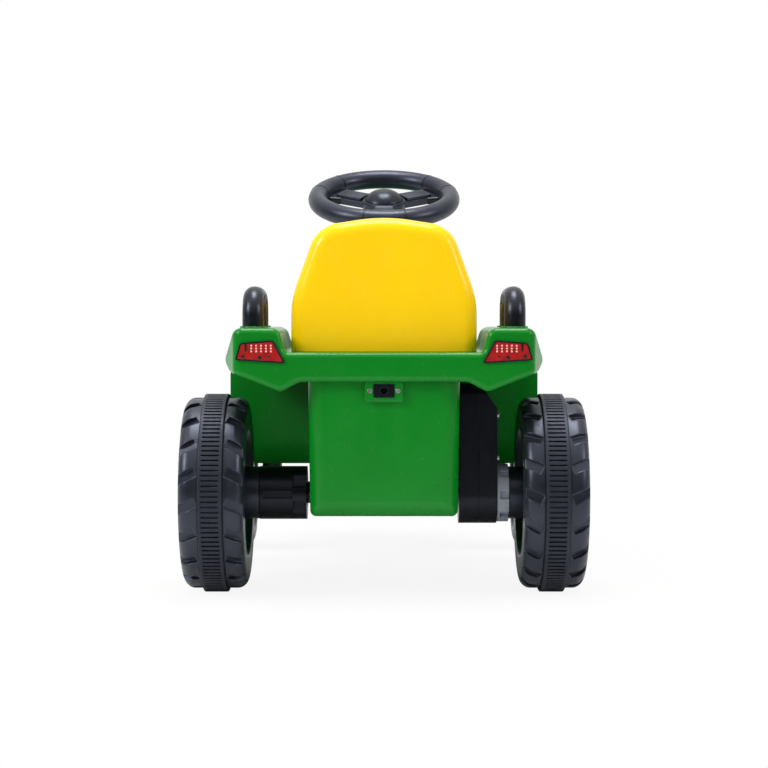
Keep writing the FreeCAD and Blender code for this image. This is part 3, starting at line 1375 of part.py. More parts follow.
def make_gearbox():
    """Two black half shells that hold the gears, screwed together at the corners."""
    base = "rear_wheel_radius - gearbox_low_radius"
    case = [("-gearbox_low_radius", base, "gearbox_round"), ("gearbox_low_radius", base, "gearbox_round"),
            ("gearbox_half_top", "gearbox_top", "gearbox_top_round"),
            ("-gearbox_half_top", "gearbox_top", "gearbox_top_round")]

    def room(top):
        """Hollow of a half shell up to a level."""
        foot = f"{base} + gearbox_wall"
        return [("gearbox_wall - gearbox_low_radius", foot, "gearbox_round - gearbox_wall"),
                ("gearbox_low_radius - gearbox_wall", foot, "gearbox_round - gearbox_wall"),
                ("gearbox_half_top - gearbox_wall", f"{top} - gearbox_wall",
                 "gearbox_top_round - gearbox_wall"),
                ("gearbox_wall - gearbox_half_top", f"{top} - gearbox_wall",
                 "gearbox_top_round - gearbox_wall")]

    shafts = [("0", axis, "shaft_radius + running_gap") for axis in (FIRST_AXIS, SECOND_AXIS)]
    bosses = [("0", axis, "shaft_radius + gear_sleeve_wall") for axis in (FIRST_AXIS, SECOND_AXIS)]
    low_level = "rear_wheel_radius + drive_ring_radius + gearbox_screw_lift"
    screw_spots = [(f"{side}({reach} - gearbox_screw_inset)", level) for side in ("-", "")
                   for reach, level in (("gearbox_half_top", "gearbox_top - gearbox_screw_drop"),
                                        ("gearbox_low_radius", low_level))]
    posts = [(y, z, "gearbox_screw_radius + screw_post_wall") for y, z in screw_spots]
    holes = [(y, z, "gearbox_screw_radius + screw_gap") for y, z in screw_spots]

    inner = Moulding("gearbox_inner_half").pad("YZ", "gearbox_inner_face", "gearbox_split", [case])
    inner.pocket("YZ", "gearbox_inner_face + gearbox_wall", "gearbox_split", [room("gearbox_top")])
    inner.pad("YZ", "gearbox_inner_face", f"{LAYER_ONE} - gear_side_gap", rounds=[bosses[0]])
    inner.pad("YZ", "gearbox_inner_face", f"{LAYER_TWO} - gear_side_gap", rounds=[bosses[1]])
    inner.pad("YZ", "gearbox_inner_face", "gearbox_split", rounds=posts)
    inner.pocket("YZ", "gearbox_inner_face", "gearbox_split", rounds=shafts)
    inner.pocket("YZ", "gearbox_inner_face", "gearbox_split", rounds=holes)
    inner.pocket("YZ", "gearbox_inner_face", "gearbox_split",
                 rounds=[("0", "rear_wheel_radius", "axle_radius + screw_gap"),
                         ("0", MOTOR_AXIS, "motor_nose_radius")])
    keep("gearbox_inner_half", inner.body)

    outer = Moulding("gearbox_outer_half").pad("YZ", "gearbox_split", "gearbox_outer_face", [case])
    outer.pocket("XZ", "-gearbox_half_top - overrun", "gearbox_half_top + overrun", [[
        ("gearbox_split + gearbox_slope_start", "gearbox_top"),
        ("gearbox_outer_face", "gearbox_top - gearbox_slope_drop"), ("gearbox_outer_face", "gearbox_top"),
    ]])
    outer.pocket("YZ", "gearbox_split", "gearbox_outer_face - gearbox_wall",
                 [room("gearbox_top - gearbox_slope_drop")])
    outer.pad("YZ", f"{LAYER_TWO} + gear_face + gear_side_gap", "gearbox_outer_face", rounds=[bosses[0]])
    outer.pad("YZ", f"{LAYER_END} + gear_side_gap", "gearbox_outer_face", rounds=[bosses[1]])
    outer.pad("YZ", "gearbox_split", "gearbox_outer_face", rounds=posts)
    outer.pocket("YZ", "gearbox_split", "gearbox_outer_face", rounds=shafts)
    outer.pocket("YZ", "gearbox_split", "gearbox_outer_face", rounds=holes)
    outer.pocket("YZ", "gearbox_split", "gearbox_outer_face",
                 rounds=[("0", "rear_wheel_radius", "neck_radius + seat_gap")])
    keep("gearbox_outer_half", outer.body)

    screws = []
    for index, (y, z) in enumerate(screw_spots):
        shank = rod(f"gearbox_shank_{index}", "gearbox_screw_radius",
                    "gearbox_inner_face + gearbox_screw_start",
                    "gearbox_outer_face + gearbox_head_height / 2", "X", y=y, z=z)
        head = rod(f"gearbox_head_{index}", "gearbox_screw_head", "gearbox_outer_face",
                   "gearbox_outer_face + gearbox_head_height", "X", y=y, z=z)
        screws.append(join(f"gearbox_screw_{index}", [shank, head]))
    keep("gearbox_screws", group("gearbox_screw_set", screws))


def make_motor():
    """Steel motor can that reaches into the tub, with its shaft in the pinion."""
    front = "gearbox_inner_face"
    can = rod("motor_can", "motor_radius", f"{front} - motor_length", front, "X", z=MOTOR_AXIS)
    nose = rod("motor_nose", "motor_nose_radius - screw_gap", f"{front} - overrun",
               f"{front} + gearbox_wall", "X", z=MOTOR_AXIS)
    tail = rod("motor_tail", "motor_tail_radius", f"{front} - motor_length - motor_tail_length",
               f"{front} - motor_length + overrun", "X", z=MOTOR_AXIS)
    body = join("motor_body", [can, nose, tail])
    bore = rod("motor_bore", "motor_shaft_radius + running_gap", f"{front} - motor_length / 2 - overrun",
               f"{front} + gearbox_wall + overrun", "X", z=MOTOR_AXIS)
    keep("drive_motor", boolean("Cut", "drive_motor_bored", body, bore))


def make_axle():
    """Rear axle, its end nuts, the left spacer and the nylon ring that drives the right wheel."""
    tip = "rear_track / 2 + rear_tyre_width / 2 - rear_rim_depth + hub_height + nut_height + axle_tip"
    seat = "rear_track / 2 + rear_tyre_width / 2 - rear_rim_depth + hub_height + seat_gap"
    keep("rear_axle", group("rear_axle_part", [rod("axle_rod", "axle_radius", f"-({tip})", tip, "X",
                                                   z="rear_wheel_radius")]))
    nuts = []
    for name, low in (("left", f"-({seat}) - nut_height"), ("right", seat)):
        nuts.append(nut(f"axle_nut_{name}", low, "0", "rear_wheel_radius"))
    keep("axle_nuts", group("axle_nut_pair", nuts))

    inboard = "rear_track / 2 - rear_tyre_width / 2 - rear_boss_length"
    outer_end = f"seat_gap - ({inboard})"
    inner_end = "-tub_half_top - spacer_end_gap"
    middle = "rear_wheel_radius"
    bore = ("0", middle, "axle_radius + screw_gap")
    spacer = Moulding("axle_spacer").pad("YZ", outer_end, inner_end, rounds=[("0", middle, "spacer_radius")])
    spacer.pocket("YZ", outer_end, inner_end, rounds=[bore])
    pocket_start = f"{inner_end} - spacer_pocket - overrun"
    spacer.pocket("YZ", f"{outer_end} + spacer_slot_start", f"{pocket_start} - overrun", [rectangle(
        "-spacer_radius - overrun", "spacer_slot_depth - spacer_radius", f"{middle} - spacer_slot / 2",
        f"{middle} + spacer_slot / 2")])
    for level in (f"{middle} + spacer_slot", f"{middle} - spacer_slot - spacer_pocket"):
        spacer.pocket("YZ", pocket_start, f"{inner_end} - overrun", [rectangle(
            "-spacer_radius - overrun", "spacer_pocket_depth - spacer_radius", level,
            f"{level} + spacer_pocket")])
    spacer.pad("YZ", f"{inner_end} - overrun", "-tub_half_top - spacer_collar_gap",
               rounds=[("0", middle, "axle_radius + spacer_collar_wall"), bore])
    keep("axle_spacer", spacer.body)

    start = "gearbox_outer_face + seat_gap"
    ring = Moulding("drive_ring").pad("YZ", start, f"{start} + drive_ring_length",
                                      rounds=[("0", "0", "drive_ring_radius"),
                                              ("0", "0", "axle_radius + running_gap")])
    ring.pocket("YZ", f"{start} + lobe_flange", f"{start} + drive_ring_length", [rectangle(
        "-lobe_gap_half", "lobe_gap_half", "drive_ring_radius - lobe_gap_depth",
        "drive_ring_radius + overrun")])
    ring.polar("drive_ring_lobes", "X")
    keep("drive_ring", ring.body, ORIGIN_SHIFT, "0", "rear_wheel_radius")


def nut(name, low, y, z):
    """Hexagon nut on an axle end along X."""
    prism = doc.addObject("Part::Prism", f"{name}_prism")
    prism.Polygon = 6
    tie(prism, Circumradius="nut_radius", Height="nut_height")
    prism.Placement = FreeCAD.Placement(FreeCAD.Vector(), FreeCAD.Rotation(FreeCAD.Vector(0, 1, 0), 90))
    put(prism, low, y, z)
    thread = rod(f"{name}_thread", "axle_radius + running_gap", f"{low} - overrun",
                 f"{low} + nut_height + overrun", "X",
                 y=y, z=z)
    return boolean("Cut", name, prism, thread)


make_battery()
make_gear_train()
make_gearbox()
make_motor()
make_axle()


# Front: bonnet, dashboard, grille, headlamps and bumper

def hood_section(top):
    """Cross section that the bonnet and the dashboard share."""
    right = [("bonnet_half", "bonnet_bottom"), ("bonnet_shoulder_half", "bonnet_shoulder", "shoulder_bend"),
             ("bonnet_top_half", top, "hood_bend")]
    return right + [(f"-{x}", *rest) for x, *rest in reversed(right)]


def screw_cutters(name, place):
    """Clearance holes for the screw on each side of one cover."""
    return rod(f"{name}_screw_holes", "body_screw_radius + screw_gap", "-bonnet_half - overrun",
               "bonnet_half + overrun", "X",
               y=place, z="body_screw_height")


def leaning_rod(name, radius, low, high):
    """Cylinder along the steering column's axis, measured from the steering wheel's middle."""
    item = doc.addObject("Part::Cylinder", name)
    tie(item, Radius=radius, Height=f"({high}) - ({low})")
    tilt(item, "steering_tilt")
    put(item, "0", f"steering_place - ({low}) * sin(steering_tilt)",
        f"steering_height + ({low}) * cos(steering_tilt)")
    return item


def make_bonnet():
    start = "bonnet_back - wall - overrun"
    side = [(start, "bonnet_bottom"), ("nose_face", "bonnet_bottom", "nose_foot_round"),
            ("nose_face", "nose_brow", "nose_brow_round"),
            ("nose_face - nose_set_back", "nose_top", "nose_top_round"),
            (start, "bonnet_top")]
    plan_right = [("bonnet_half + overrun", start),
                  ("bonnet_half + overrun", "nose_taper_start", "nose_taper_round"),
                  ("nose_half", "nose_face", "nose_corner")]
    plan = plan_right + [(f"-({x})", *rest) for x, *rest in reversed(plan_right)]
    shell = bent_shell("bonnet", {
        "XZ": (hood_section("bonnet_top + overrun"), start, "nose_face + overrun"),
        "YZ": (side, "-bonnet_half - 2 * overrun", "bonnet_half + 2 * overrun"),
        "XY": (plan, "bonnet_bottom - overrun", "bonnet_top + 2 * overrun"),
    }, (("wall + overrun - nose_half", "nose_half - wall - overrun"),
        ("bonnet_back", "nose_face - wall - overrun"),
        ("bonnet_bottom - overrun", "bonnet_bottom + wall + overrun")))
    mouth = box("bonnet_mouth", ("-bonnet_half - 2 * overrun", "bonnet_half + 2 * overrun"),
                (f"{start} - overrun", "bonnet_back"),
                ("bonnet_bottom - overrun", "bonnet_top + 2 * overrun"))
    room = box("bonnet_tub_room", ("-tub_half_top - seat_gap", "tub_half_top + seat_gap"),
               (f"{start} - overrun", "tub_front + seat_gap"), ("bonnet_bottom - overrun", "tub_top"))
    tools = group("bonnet_tools", [mouth, room, screw_cutters("bonnet", SCREW_PLACES[1])])
    keep("bonnet", boolean("Cut", "bonnet_whole", shell, tools))


def make_dashboard():
    """Black cowl behind the bonnet, square to the steering column on top."""
    end = "bonnet_back + wall + overrun"
    high_top = "bonnet_top + (wall + overrun) * tan(steering_tilt)"
    low_top = "bonnet_top - (bonnet_back - dash_back) * tan(steering_tilt)"
    side = [("dash_back", "bonnet_bottom"), (end, "bonnet_bottom"), (end, high_top),
            ("dash_back", low_top, "dash_round")]
    plan = rectangle("-bonnet_half - overrun", "bonnet_half + overrun", "dash_back", end)
    across = ("-bonnet_half - 2 * overrun", "bonnet_half + 2 * overrun")
    upright = ("bonnet_bottom - overrun", f"{high_top} + 2 * wall")
    shell = bent_shell("dashboard", {
        "XZ": (hood_section(f"{high_top} + wall"), "dash_back - overrun", f"{end} + overrun"),
        "YZ": (side, *across),
        "XY": (plan, *upright),
    }, (("-tub_half_top - seat_gap", "tub_half_top + seat_gap"), ("dash_back - overrun", f"{end} + overrun"),
        ("bonnet_bottom - overrun", "deck_height + seat_gap")))
    mouth = box("dashboard_mouth", across, ("bonnet_back - seat_gap", f"{end} + overrun"), upright)
    panel = ("dash_back - overrun", "dash_back + wall + overrun")
    windows = [box(f"dashboard_window_{name}", (f"{x} - {ROCKER_ROOM}", f"{x} + {ROCKER_ROOM}"), panel,
                   (f"rocker_height - {ROCKER_REACH}", f"rocker_height + {ROCKER_REACH}"))
               for name, x in (("left", "-rocker_place"), ("right", "rocker_place"))]
    horn = rod("dashboard_horn_hole", "horn_radius + seat_gap", *panel, "Y", z="horn_height")
    bush = leaning_rod("dashboard_bush_hole", "bush_radius + screw_gap", f"{DASH_CROSSING} - 2 * bush_length",
                       f"{DASH_CROSSING} + bush_length")
    tools = group("dashboard_tools", [mouth, *windows, horn, bush,
                                     screw_cutters("dashboard", SCREW_PLACES[0])])
    keep("dashboard", boolean("Cut", "dashboard_whole", shell, tools))


def make_nose():
    """Slotted grille, headlamps and bumper on the front of the bonnet."""
    grille = Moulding("front_grille").pad("XZ", "nose_face", "nose_face + grille_thick", [
        rectangle("-grille_half", "grille_half", "grille_bottom", "grille_top", "grille_round")])
    pitch = "(grille_top - grille_bottom - grille_spare) / grille_slots"
    first_slot = "grille_bottom + grille_slot_start"
    grille.pocket("XZ", "nose_face + grille_floor", "nose_face + grille_thick", [
        rectangle("grille_border - grille_half", "grille_half - grille_border", first_slot,
                  f"{first_slot} + ({pitch}) * grille_slot_share")])
    grille.row("grille_slots", f"({pitch}) * (grille_slots - 1)", "Z")
    keep("front_grille", grille.body)
    lamps = []
    for name, side in SIDES:
        lamp = Moulding(f"headlamp_{name}").pad("XZ", "nose_face", "nose_face + grille_thick", [[
            (f"{side}headlamp_inner", "headlamp_bottom", "headlamp_round"),
            (f"{side}headlamp_outer", "headlamp_bottom + headlamp_slant", "headlamp_round"),
            (f"{side}headlamp_outer", "grille_top", "headlamp_round"),
            (f"{side}headlamp_inner", "grille_top", "headlamp_round"),
        ]])
        lamps.append(lamp.body)
    keep("headlamps", group("headlamp_pair", lamps))
    bumper = Moulding("front_bumper").pad("XY", "bumper_front_bottom", "bonnet_bottom - seat_gap", [[
        ("-bumper_front_half", "spine_front"), ("bumper_front_half", "spine_front"),
        ("bumper_front_half", "wheelbase + nose_overhang", "bumper_front_round"),
        ("-bumper_front_half", "wheelbase + nose_overhang", "bumper_front_round"),
    ]])
    keep("front_bumper", bumper.body)


# Steering: wheel, column with its crank, bushes, axle beam, knuckles and tie rod

def lean(label, item):
    """Keep a piece drawn about the steering column's own axis."""
    tilt(item, "steering_tilt")
    return keep(label, item, f"{ORIGIN_SHIFT} + steering_place", "0", "steering_height")


def make_steering():
    wheel = Moulding("steering_wheel")
    wheel.pad("XY", "-hub_depth", "hub_rise", rounds=[("0", "0", "hub_disc_radius")])
    wheel.pad("XY", "-spoke_drop - spoke_thick", "-spoke_drop", [
        rectangle("-spoke_width / 2", "spoke_width / 2", "-rim_radius", "spoke_overlap - hub_disc_radius")])
    wheel.polar("3", "Z")
    ring = wheel.sketch("XZ", rounds=[("rim_radius", "0", "rim_tube_radius")])
    rim = wheel.feature("Revolution", ring)
    rim.ReferenceAxis = (ring, ["V_Axis"])
    tie(rim, Angle="360")
    wheel.pocket("XY", "-hub_depth", "column_top", rounds=[("0", "0", "column_radius + screw_gap")])
    lean("steering_wheel", wheel.body)

    cap = Moulding("steering_hub_cap").spin([[
        ("0", "hub_rise"), ("hub_cap_radius", "hub_rise"), ("hub_cap_radius", "hub_rise + hub_cap_edge"),
        ("hub_cap_radius * hub_cap_share", "hub_rise + hub_cap_rise", "hub_cap_bend"),
        ("0", "hub_rise + hub_cap_rise"),
    ]], "V_Axis", "XZ")
    lean("steering_hub_cap", cap.body)

    column = Moulding("steering_column")
    column.pad("XY", "-crank_depth - crank_thick / 2", "column_top", rounds=[("0", "0", "column_radius")])
    column.pad("XY", "-crank_depth - crank_thick / 2", "crank_thick / 2 - crank_depth", [
        rectangle("-crank_pin_radius - crank_margin", "crank_pin_radius + crank_margin",
                  "-crank_radius - crank_pin_radius - crank_margin", "column_radius + crank_margin",
                  "crank_margin")])
    column.pad("XY", "-crank_depth - crank_thick / 2 - crank_pin_length", "-crank_depth",
               rounds=[("0", "-crank_radius", "crank_pin_radius")])
    lean("steering_column", column.body)

    loose = "column_radius + running_gap"
    flange_top = f"{DASH_CROSSING} + bush_flange_thick"
    sleeve_end = f"{DASH_CROSSING} - bush_length"
    collar = join("upper_bush_collar", [
        leaning_rod("upper_bush_sleeve", "bush_radius", sleeve_end, DASH_CROSSING),
        leaning_rod("upper_bush_flange", "bush_flange_radius", DASH_CROSSING, flange_top)])
    upper_bore = leaning_rod("upper_bush_bore", loose, f"{sleeve_end} - overrun", f"{flange_top} + overrun")
    upper = boolean("Cut", "upper_bush", collar, upper_bore)
    floor = "spine_bottom + wall"
    block = rod("lower_bush_block", "bush_flange_radius + bush_block_wall", floor,
                f"{floor} + bush_block_height",
                y=f"steering_place + (steering_height - {floor} - bush_block_height / 2) * {COLUMN_LEAN}")
    lower = boolean("Cut", "lower_bush", block,
                    leaning_rod("lower_bush_bore", loose, "-crank_depth", DASH_CROSSING))
    keep("column_bushes", group("column_bush_pair", [upper, lower]))


def make_front_axle():
    top = "spine_bottom"
    boss_parts = [rod(f"kingpin_boss_{name}", "kingpin_boss_radius", "boss_bottom", top,
                      x=f"{side}kingpin_half",
                      y=FRONT_AXLE) for name, side in SIDES]
    bar = box("beam_bar", ("-kingpin_half", "kingpin_half"),
              (f"{FRONT_AXLE} - beam_back", f"{FRONT_AXLE} + beam_front"),
              (f"{top} - beam_thick", top))
    bores = [rod(f"kingpin_bore_{name}", "kingpin_radius + running_gap", "boss_bottom - overrun",
                 f"{top} + overrun",
                 x=f"{side}kingpin_half", y=FRONT_AXLE) for name, side in SIDES]
    room = leaning_rod("beam_column_room", "column_radius + column_room", "-crank_depth - beam_thick",
                       DASH_CROSSING)
    keep("front_axle_beam", boolean("Cut", "front_axle_beam_bored", join("beam_solid", [bar, *boss_parts]),
                                    group("beam_tools", [*bores, room])))

    hub_face = "front_track / 2 + front_tyre_width / 2 - front_rim_depth + hub_height"
    collar_top = "boss_bottom - seat_gap"
    pin_place = f"{FRONT_AXLE} - arm_length"
    for name, side in SIDES:
        middle = f"{side}kingpin_half"
        stub_reach = f"{hub_face} + nut_height + axle_tip"
        stub_span = ("kingpin_half", stub_reach) if side == "" else (f"-({stub_reach})", "-kingpin_half")
        parts = [
            rod(f"knuckle_collar_{name}", "knuckle_radius", "knuckle_bottom", collar_top, x=middle,
                y=FRONT_AXLE),
            rod(f"kingpin_{name}", "kingpin_radius", "knuckle_bottom", f"{top} + seat_gap + nut_height",
                x=middle, y=FRONT_AXLE),
            rod(f"stub_axle_{name}", "axle_radius", *stub_span, "X", y=FRONT_AXLE, z="front_wheel_radius"),
            box(f"steering_arm_{name}", (f"{middle} - arm_width / 2", f"{middle} + arm_width / 2"),
                (f"{pin_place} - arm_width / 2", FRONT_AXLE), ("arm_bottom", "arm_top")),
            rod(f"arm_pin_{name}", "tie_pin_radius", "arm_bottom",
                "tie_rod_bottom + tie_rod_thick + tie_pin_stand",
                x=middle, y=pin_place),
        ]
        keep(f"steering_knuckle_{name}", join(f"knuckle_{name}", parts))
        low = f"{hub_face} + seat_gap" if side == "" else f"-({hub_face}) - seat_gap - nut_height"
        crown = doc.addObject("Part::Prism", f"kingpin_nut_prism_{name}")
        crown.Polygon = 6
        tie(crown, Circumradius="nut_radius", Height="nut_height")
        put(crown, middle, FRONT_AXLE, f"{top} + seat_gap")
        thread = rod(f"kingpin_nut_thread_{name}", "kingpin_radius + running_gap", top,
                     f"{top} + nut_height + overrun",
                     x=middle, y=FRONT_AXLE)
        nuts = [nut(f"wheel_nut_{name}", low, FRONT_AXLE, "front_wheel_radius"),
                boolean("Cut", f"kingpin_nut_{name}", crown, thread)]
        keep(f"knuckle_nuts_{name}", group(f"knuckle_nut_pair_{name}", nuts))

    rod_level = "tie_rod_bottom + tie_rod_thick / 2"
    crank_place = (f"steering_place + (steering_height - {rod_level}) * {COLUMN_LEAN}"
                   " - crank_radius / cos(steering_tilt)")
    link = Moulding("tie_rod").pad("XY", "tie_rod_bottom", "tie_rod_bottom + tie_rod_thick", [
        rectangle("-kingpin_half - tie_rod_end", "kingpin_half + tie_rod_end",
                  f"{pin_place} - tie_rod_width / 2",
                  f"{pin_place} + tie_rod_width / 2", "tie_rod_round")])
    link.pocket("XY", "tie_rod_bottom", "tie_rod_bottom + tie_rod_thick", rounds=[
        (f"{side}kingpin_half", pin_place, "tie_pin_radius + tie_pin_gap") for side in ("-", "")])
    slot = "crank_pin_radius + crank_slot_side"
    slot_reach = "(crank_pin_radius + crank_slot_end)"
    link.pocket("XY", "tie_rod_bottom", "tie_rod_bottom + tie_rod_thick", [
        rectangle(f"-({slot})", slot, f"{crank_place} - {slot_reach}", f"{crank_place} + {slot_reach}",
                  "crank_slot_round")])
    keep("tie_rod", link.body)


# Controls: accelerator pedal, dashboard switches and the cover screws

def make_pedal():
    pedal = Moulding("accelerator_pedal")
    half = "pedal_width / 2"
    reach = f"{PEDAL_LUG} + pedal_lug_thick"
    rib_end = "pedal_rib_start + pedal_rib_width"
    pedal.pad("YZ", f"-{half}", half, rounds=[("0", "0", "pedal_hub_radius")])
    pedal.pad("XY", "-pedal_thick / 2", "pedal_thick / 2", [[
        (f"-{half}", "0"), (half, "0"), (half, "pedal_length", "pedal_corner"),
        (f"-{half}", "pedal_length", "pedal_corner")]])
    pedal.pad("XY", "pedal_thick / 2", "pedal_thick / 2 + pedal_rib", [
        rectangle(f"pedal_rib_margin - {half}", f"{half} - pedal_rib_margin", "pedal_rib_start", rib_end)])
    pedal.row("pedal_ribs", f"pedal_length - pedal_rib_start - ({rib_end})", "Y")
    pedal.pad("YZ", f"-({reach})", reach, rounds=[("0", "0", "pedal_pin_radius")])
    item = pedal.body
    tilt(item, "pedal_rest_angle")
    keep("accelerator_pedal", item, f"{ORIGIN_SHIFT} + pedal_heel", "pedal_place", PEDAL_AXIS)
    start = "pedal_heel + pedal_switch_place"
    cap = f"{STEP_FLOOR} + pedal_switch_height"
    switch = Moulding("pedal_switch").pad("XY", STEP_FLOOR, cap, [
        rectangle("pedal_place - pedal_switch_half", "pedal_place + pedal_switch_half", start,
                  f"{start} + 2 * pedal_switch_half", "pedal_switch_round")])
    switch.pad("XY", cap, f"{cap} + plunger_rise",
               rounds=[("pedal_place", f"{start} + pedal_switch_half", "plunger_radius")])
    keep("pedal_switch", switch.body)


def make_switches():
    face = "dash_back - bezel_thick"
    edge = "rocker_place + rocker_width / 2 + rocker_gap + bezel_border"
    bezel = Moulding("switch_bezel").pad("XZ", face, "dash_back", [rectangle(
        f"-({edge})", edge, f"rocker_height - {ROCKER_REACH} - bezel_border",
        "horn_height + horn_radius + bezel_border", "bezel_round")])
    for x in ("-rocker_place", "rocker_place"):
        bezel.pocket("XZ", face, "dash_back", [rectangle(
            f"{x} - {ROCKER_ROOM}", f"{x} + {ROCKER_ROOM}", f"rocker_height - {ROCKER_REACH}",
            f"rocker_height + {ROCKER_REACH}")])
        pin_end = f"{ROCKER_ROOM} + rocker_pin_reach + rocker_pin_end_gap"
        bezel.pocket("YZ", f"{x} - ({pin_end})", f"{x} + {pin_end}",
                     rounds=[("dash_back - bezel_thick / 2", "rocker_height",
                              "rocker_pin_radius + running_gap")])
    bezel.pocket("XZ", face, "dash_back", rounds=[("0", "horn_height", "horn_radius + seat_gap")])
    keep("switch_bezel", bezel.body)
    for label, x in (("power_rocker", "-rocker_place"), ("direction_rocker", "rocker_place")):
        low, high = "-rocker_deep / 2 - rocker_lip", "rocker_deep / 2"
        rocker = Moulding(label).pad("YZ", "-rocker_width / 2", "rocker_width / 2", [[
            (low, "-rocker_tall / 2", "rocker_edge_round"), (high, "rocker_draft - rocker_tall / 2"),
            (high, "rocker_tall / 2 - rocker_draft"), (low, "rocker_tall / 2", "rocker_edge_round"),
            ("-rocker_deep / 2", "0", "rocker_dish_round"),
        ]])
        rocker.pad("YZ", f"-{ROCKER_ROOM} - rocker_pin_reach", f"{ROCKER_ROOM} + rocker_pin_reach",
                   rounds=[("0", "0", "rocker_pin_radius")])
        keep(label, rocker.body, f"{ORIGIN_SHIFT} + dash_back - bezel_thick / 2", x, "rocker_height")
    horn = Moulding("horn_button").pad("XZ", f"{face} - horn_stand", "dash_back + wall",
                                       rounds=[("0", "horn_height", "horn_radius")])
    horn.round_edges("horn_round",
                     lambda edge: abs(edge.CenterOfMass.y - number(f"{face} - horn_stand")) < 0.01)
    keep("horn_button", horn.body)


def make_body_screws():
    screws = []
    for index, place in enumerate(SCREW_PLACES):
        for name, side in SIDES:
            spans = (("bonnet_half", "bonnet_half + body_screw_head_height"),
                     ("tub_half_bottom - wall - body_screw_grip", "bonnet_half + body_screw_head_height / 2"))
            if side:
                spans = [(f"-({high})", f"-({low})") for low, high in spans]
            spot = {"y": place, "z": "body_screw_height"}
            head = rod(f"body_screw_head_{name}_{index}", "body_screw_head", *spans[0], "X", **spot)
            shank = rod(f"body_screw_shank_{name}_{index}", "body_screw_radius", *spans[1], "X", **spot)
            screws.append(join(f"body_screw_{name}_{index}", [head, shank]))
    keep("body_screws", group("body_screw_set", screws))


make_bonnet()
make_dashboard()
make_nose()
make_steering()
make_front_axle()
make_pedal()
make_switches()
make_body_screws()
doc.recompute()

# Nothing is written unless every object and every sub-part is sound
failed = [item.Name for item in doc.Objects if "Invalid" in item.State or "Error" in item.State]
failed += [label for label, item in subparts.items() if item.Shape.isNull() or not item.Shape.isValid()]
if failed:
    raise RuntimeError(f"Not sound: {failed}")
os.makedirs("parts", exist_ok=True)
for label, item in subparts.items():
    item.Shape.exportStep(os.path.join("parts", f"{label}.step"))
print(f"{len(subparts)} sub-parts written")
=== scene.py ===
import logging
import math
from dataclasses import dataclass
from enum import Enum

import bmesh
import bpy
from mathutils import Matrix, Vector


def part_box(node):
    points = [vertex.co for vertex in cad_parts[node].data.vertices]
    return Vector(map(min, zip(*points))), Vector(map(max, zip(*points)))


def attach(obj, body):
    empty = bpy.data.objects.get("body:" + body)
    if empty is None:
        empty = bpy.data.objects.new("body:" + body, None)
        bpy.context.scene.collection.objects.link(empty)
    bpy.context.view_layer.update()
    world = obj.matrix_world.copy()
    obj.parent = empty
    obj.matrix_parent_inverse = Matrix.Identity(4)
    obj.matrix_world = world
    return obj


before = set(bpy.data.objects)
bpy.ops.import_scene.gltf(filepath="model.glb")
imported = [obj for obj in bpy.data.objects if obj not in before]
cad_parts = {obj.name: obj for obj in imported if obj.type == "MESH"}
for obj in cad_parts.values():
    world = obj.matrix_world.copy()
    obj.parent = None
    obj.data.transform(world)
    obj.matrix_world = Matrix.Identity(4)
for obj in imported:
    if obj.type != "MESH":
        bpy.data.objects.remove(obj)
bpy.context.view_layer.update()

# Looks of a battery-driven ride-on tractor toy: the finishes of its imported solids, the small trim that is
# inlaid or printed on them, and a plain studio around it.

MM = 0.001
WHITE = "#ffffff"
# Corners of a mesh that lie closer than this are one corner
MERGE_MM = 0.02
# Faces across a rounded corner of a plate, and round the section of a lip
CORNER_FACES = 5
LIP_FACES = 12
# Blender's band wave runs through this angle, in radians, over one unit at a scale of 1
WAVE_BANDS = 20
# Rays that round an edge in the shading
BEVEL_SAMPLES = 6
# Spans of the noises that become the whole mottle, the rubbed patches and the handling marks
MOTTLE_SPAN = (0.35, 0.7)
PATCH_SPAN = (0.42, 0.62)
MARK_SPAN = (0.3, 0.75)
# Cosines of the bend at which an edge starts to wear and at which it is worn through
EDGE_FOLD = (0.995, 0.9)
# Width of a rubbed patch; handling marks are this many times finer than the mottle, and drawn out and turned
PATCH_MM = 9.0
MARKS_PER_MOTTLE = 4
MARK_STRETCH = (1.0, 0.3, 0.6)
MARK_TURN = (0.3, 0.2, 0.5)
log = logging.getLogger("ride_on_tractor")


class Side(Enum):
    """Side of the toy as its rider sees it, with the sign of its X."""

    LEFT = -1
    RIGHT = 1

    @property
    def word(self) -> str:
        """Lower-case name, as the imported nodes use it."""
        return self.name.lower()


class Axle(Enum):
    """Axle that a wheel turns on."""

    REAR = "rear"
    FRONT = "front"


def linear(code: str, alpha: float = 1.0) -> tuple[float, float, float, float]:
    """Turn an sRGB hex colour into linear light.

    Args:
        code: Colour such as "#12862b".
        alpha: Opacity put behind the three channels.

    Returns:
        Red, green, blue and alpha in linear light.
    """
    levels = [int(code[start:start + 2], 16) / 255 for start in (1, 3, 5)]
    light = [level / 12.92 if level <= 0.04045 else ((level + 0.055) / 1.055) ** 2.4 for level in levels]
    return (light[0], light[1], light[2], alpha)


def per_metre(size_mm: float) -> float:
    """Texture scale that makes one cell of a pattern as wide as a size in millimetres."""
    return 1 / (size_mm * MM)


def add_node(tree: bpy.types.NodeTree, kind: str, inputs: dict | None = None, **settings: object) -> bpy.types.Node:
    """Add one node with its settings and links.

    Args:
        tree: Node tree that takes the node.
        kind: Blender's type name of the node.
        inputs: Input sockets by name or number, each with a value or with the output socket that feeds it.
        settings: Attributes of the node.

    Returns:
        The new node.
    """
    node = tree.nodes.new(kind)
    for name, value in settings.items():
        setattr(node, name, value)
    for socket, value in (inputs or {}).items():
        if isinstance(value, bpy.types.NodeSocket):
            tree.links.new(value, node.inputs[socket])
        else:
            node.inputs[socket].default_value = value
    return node


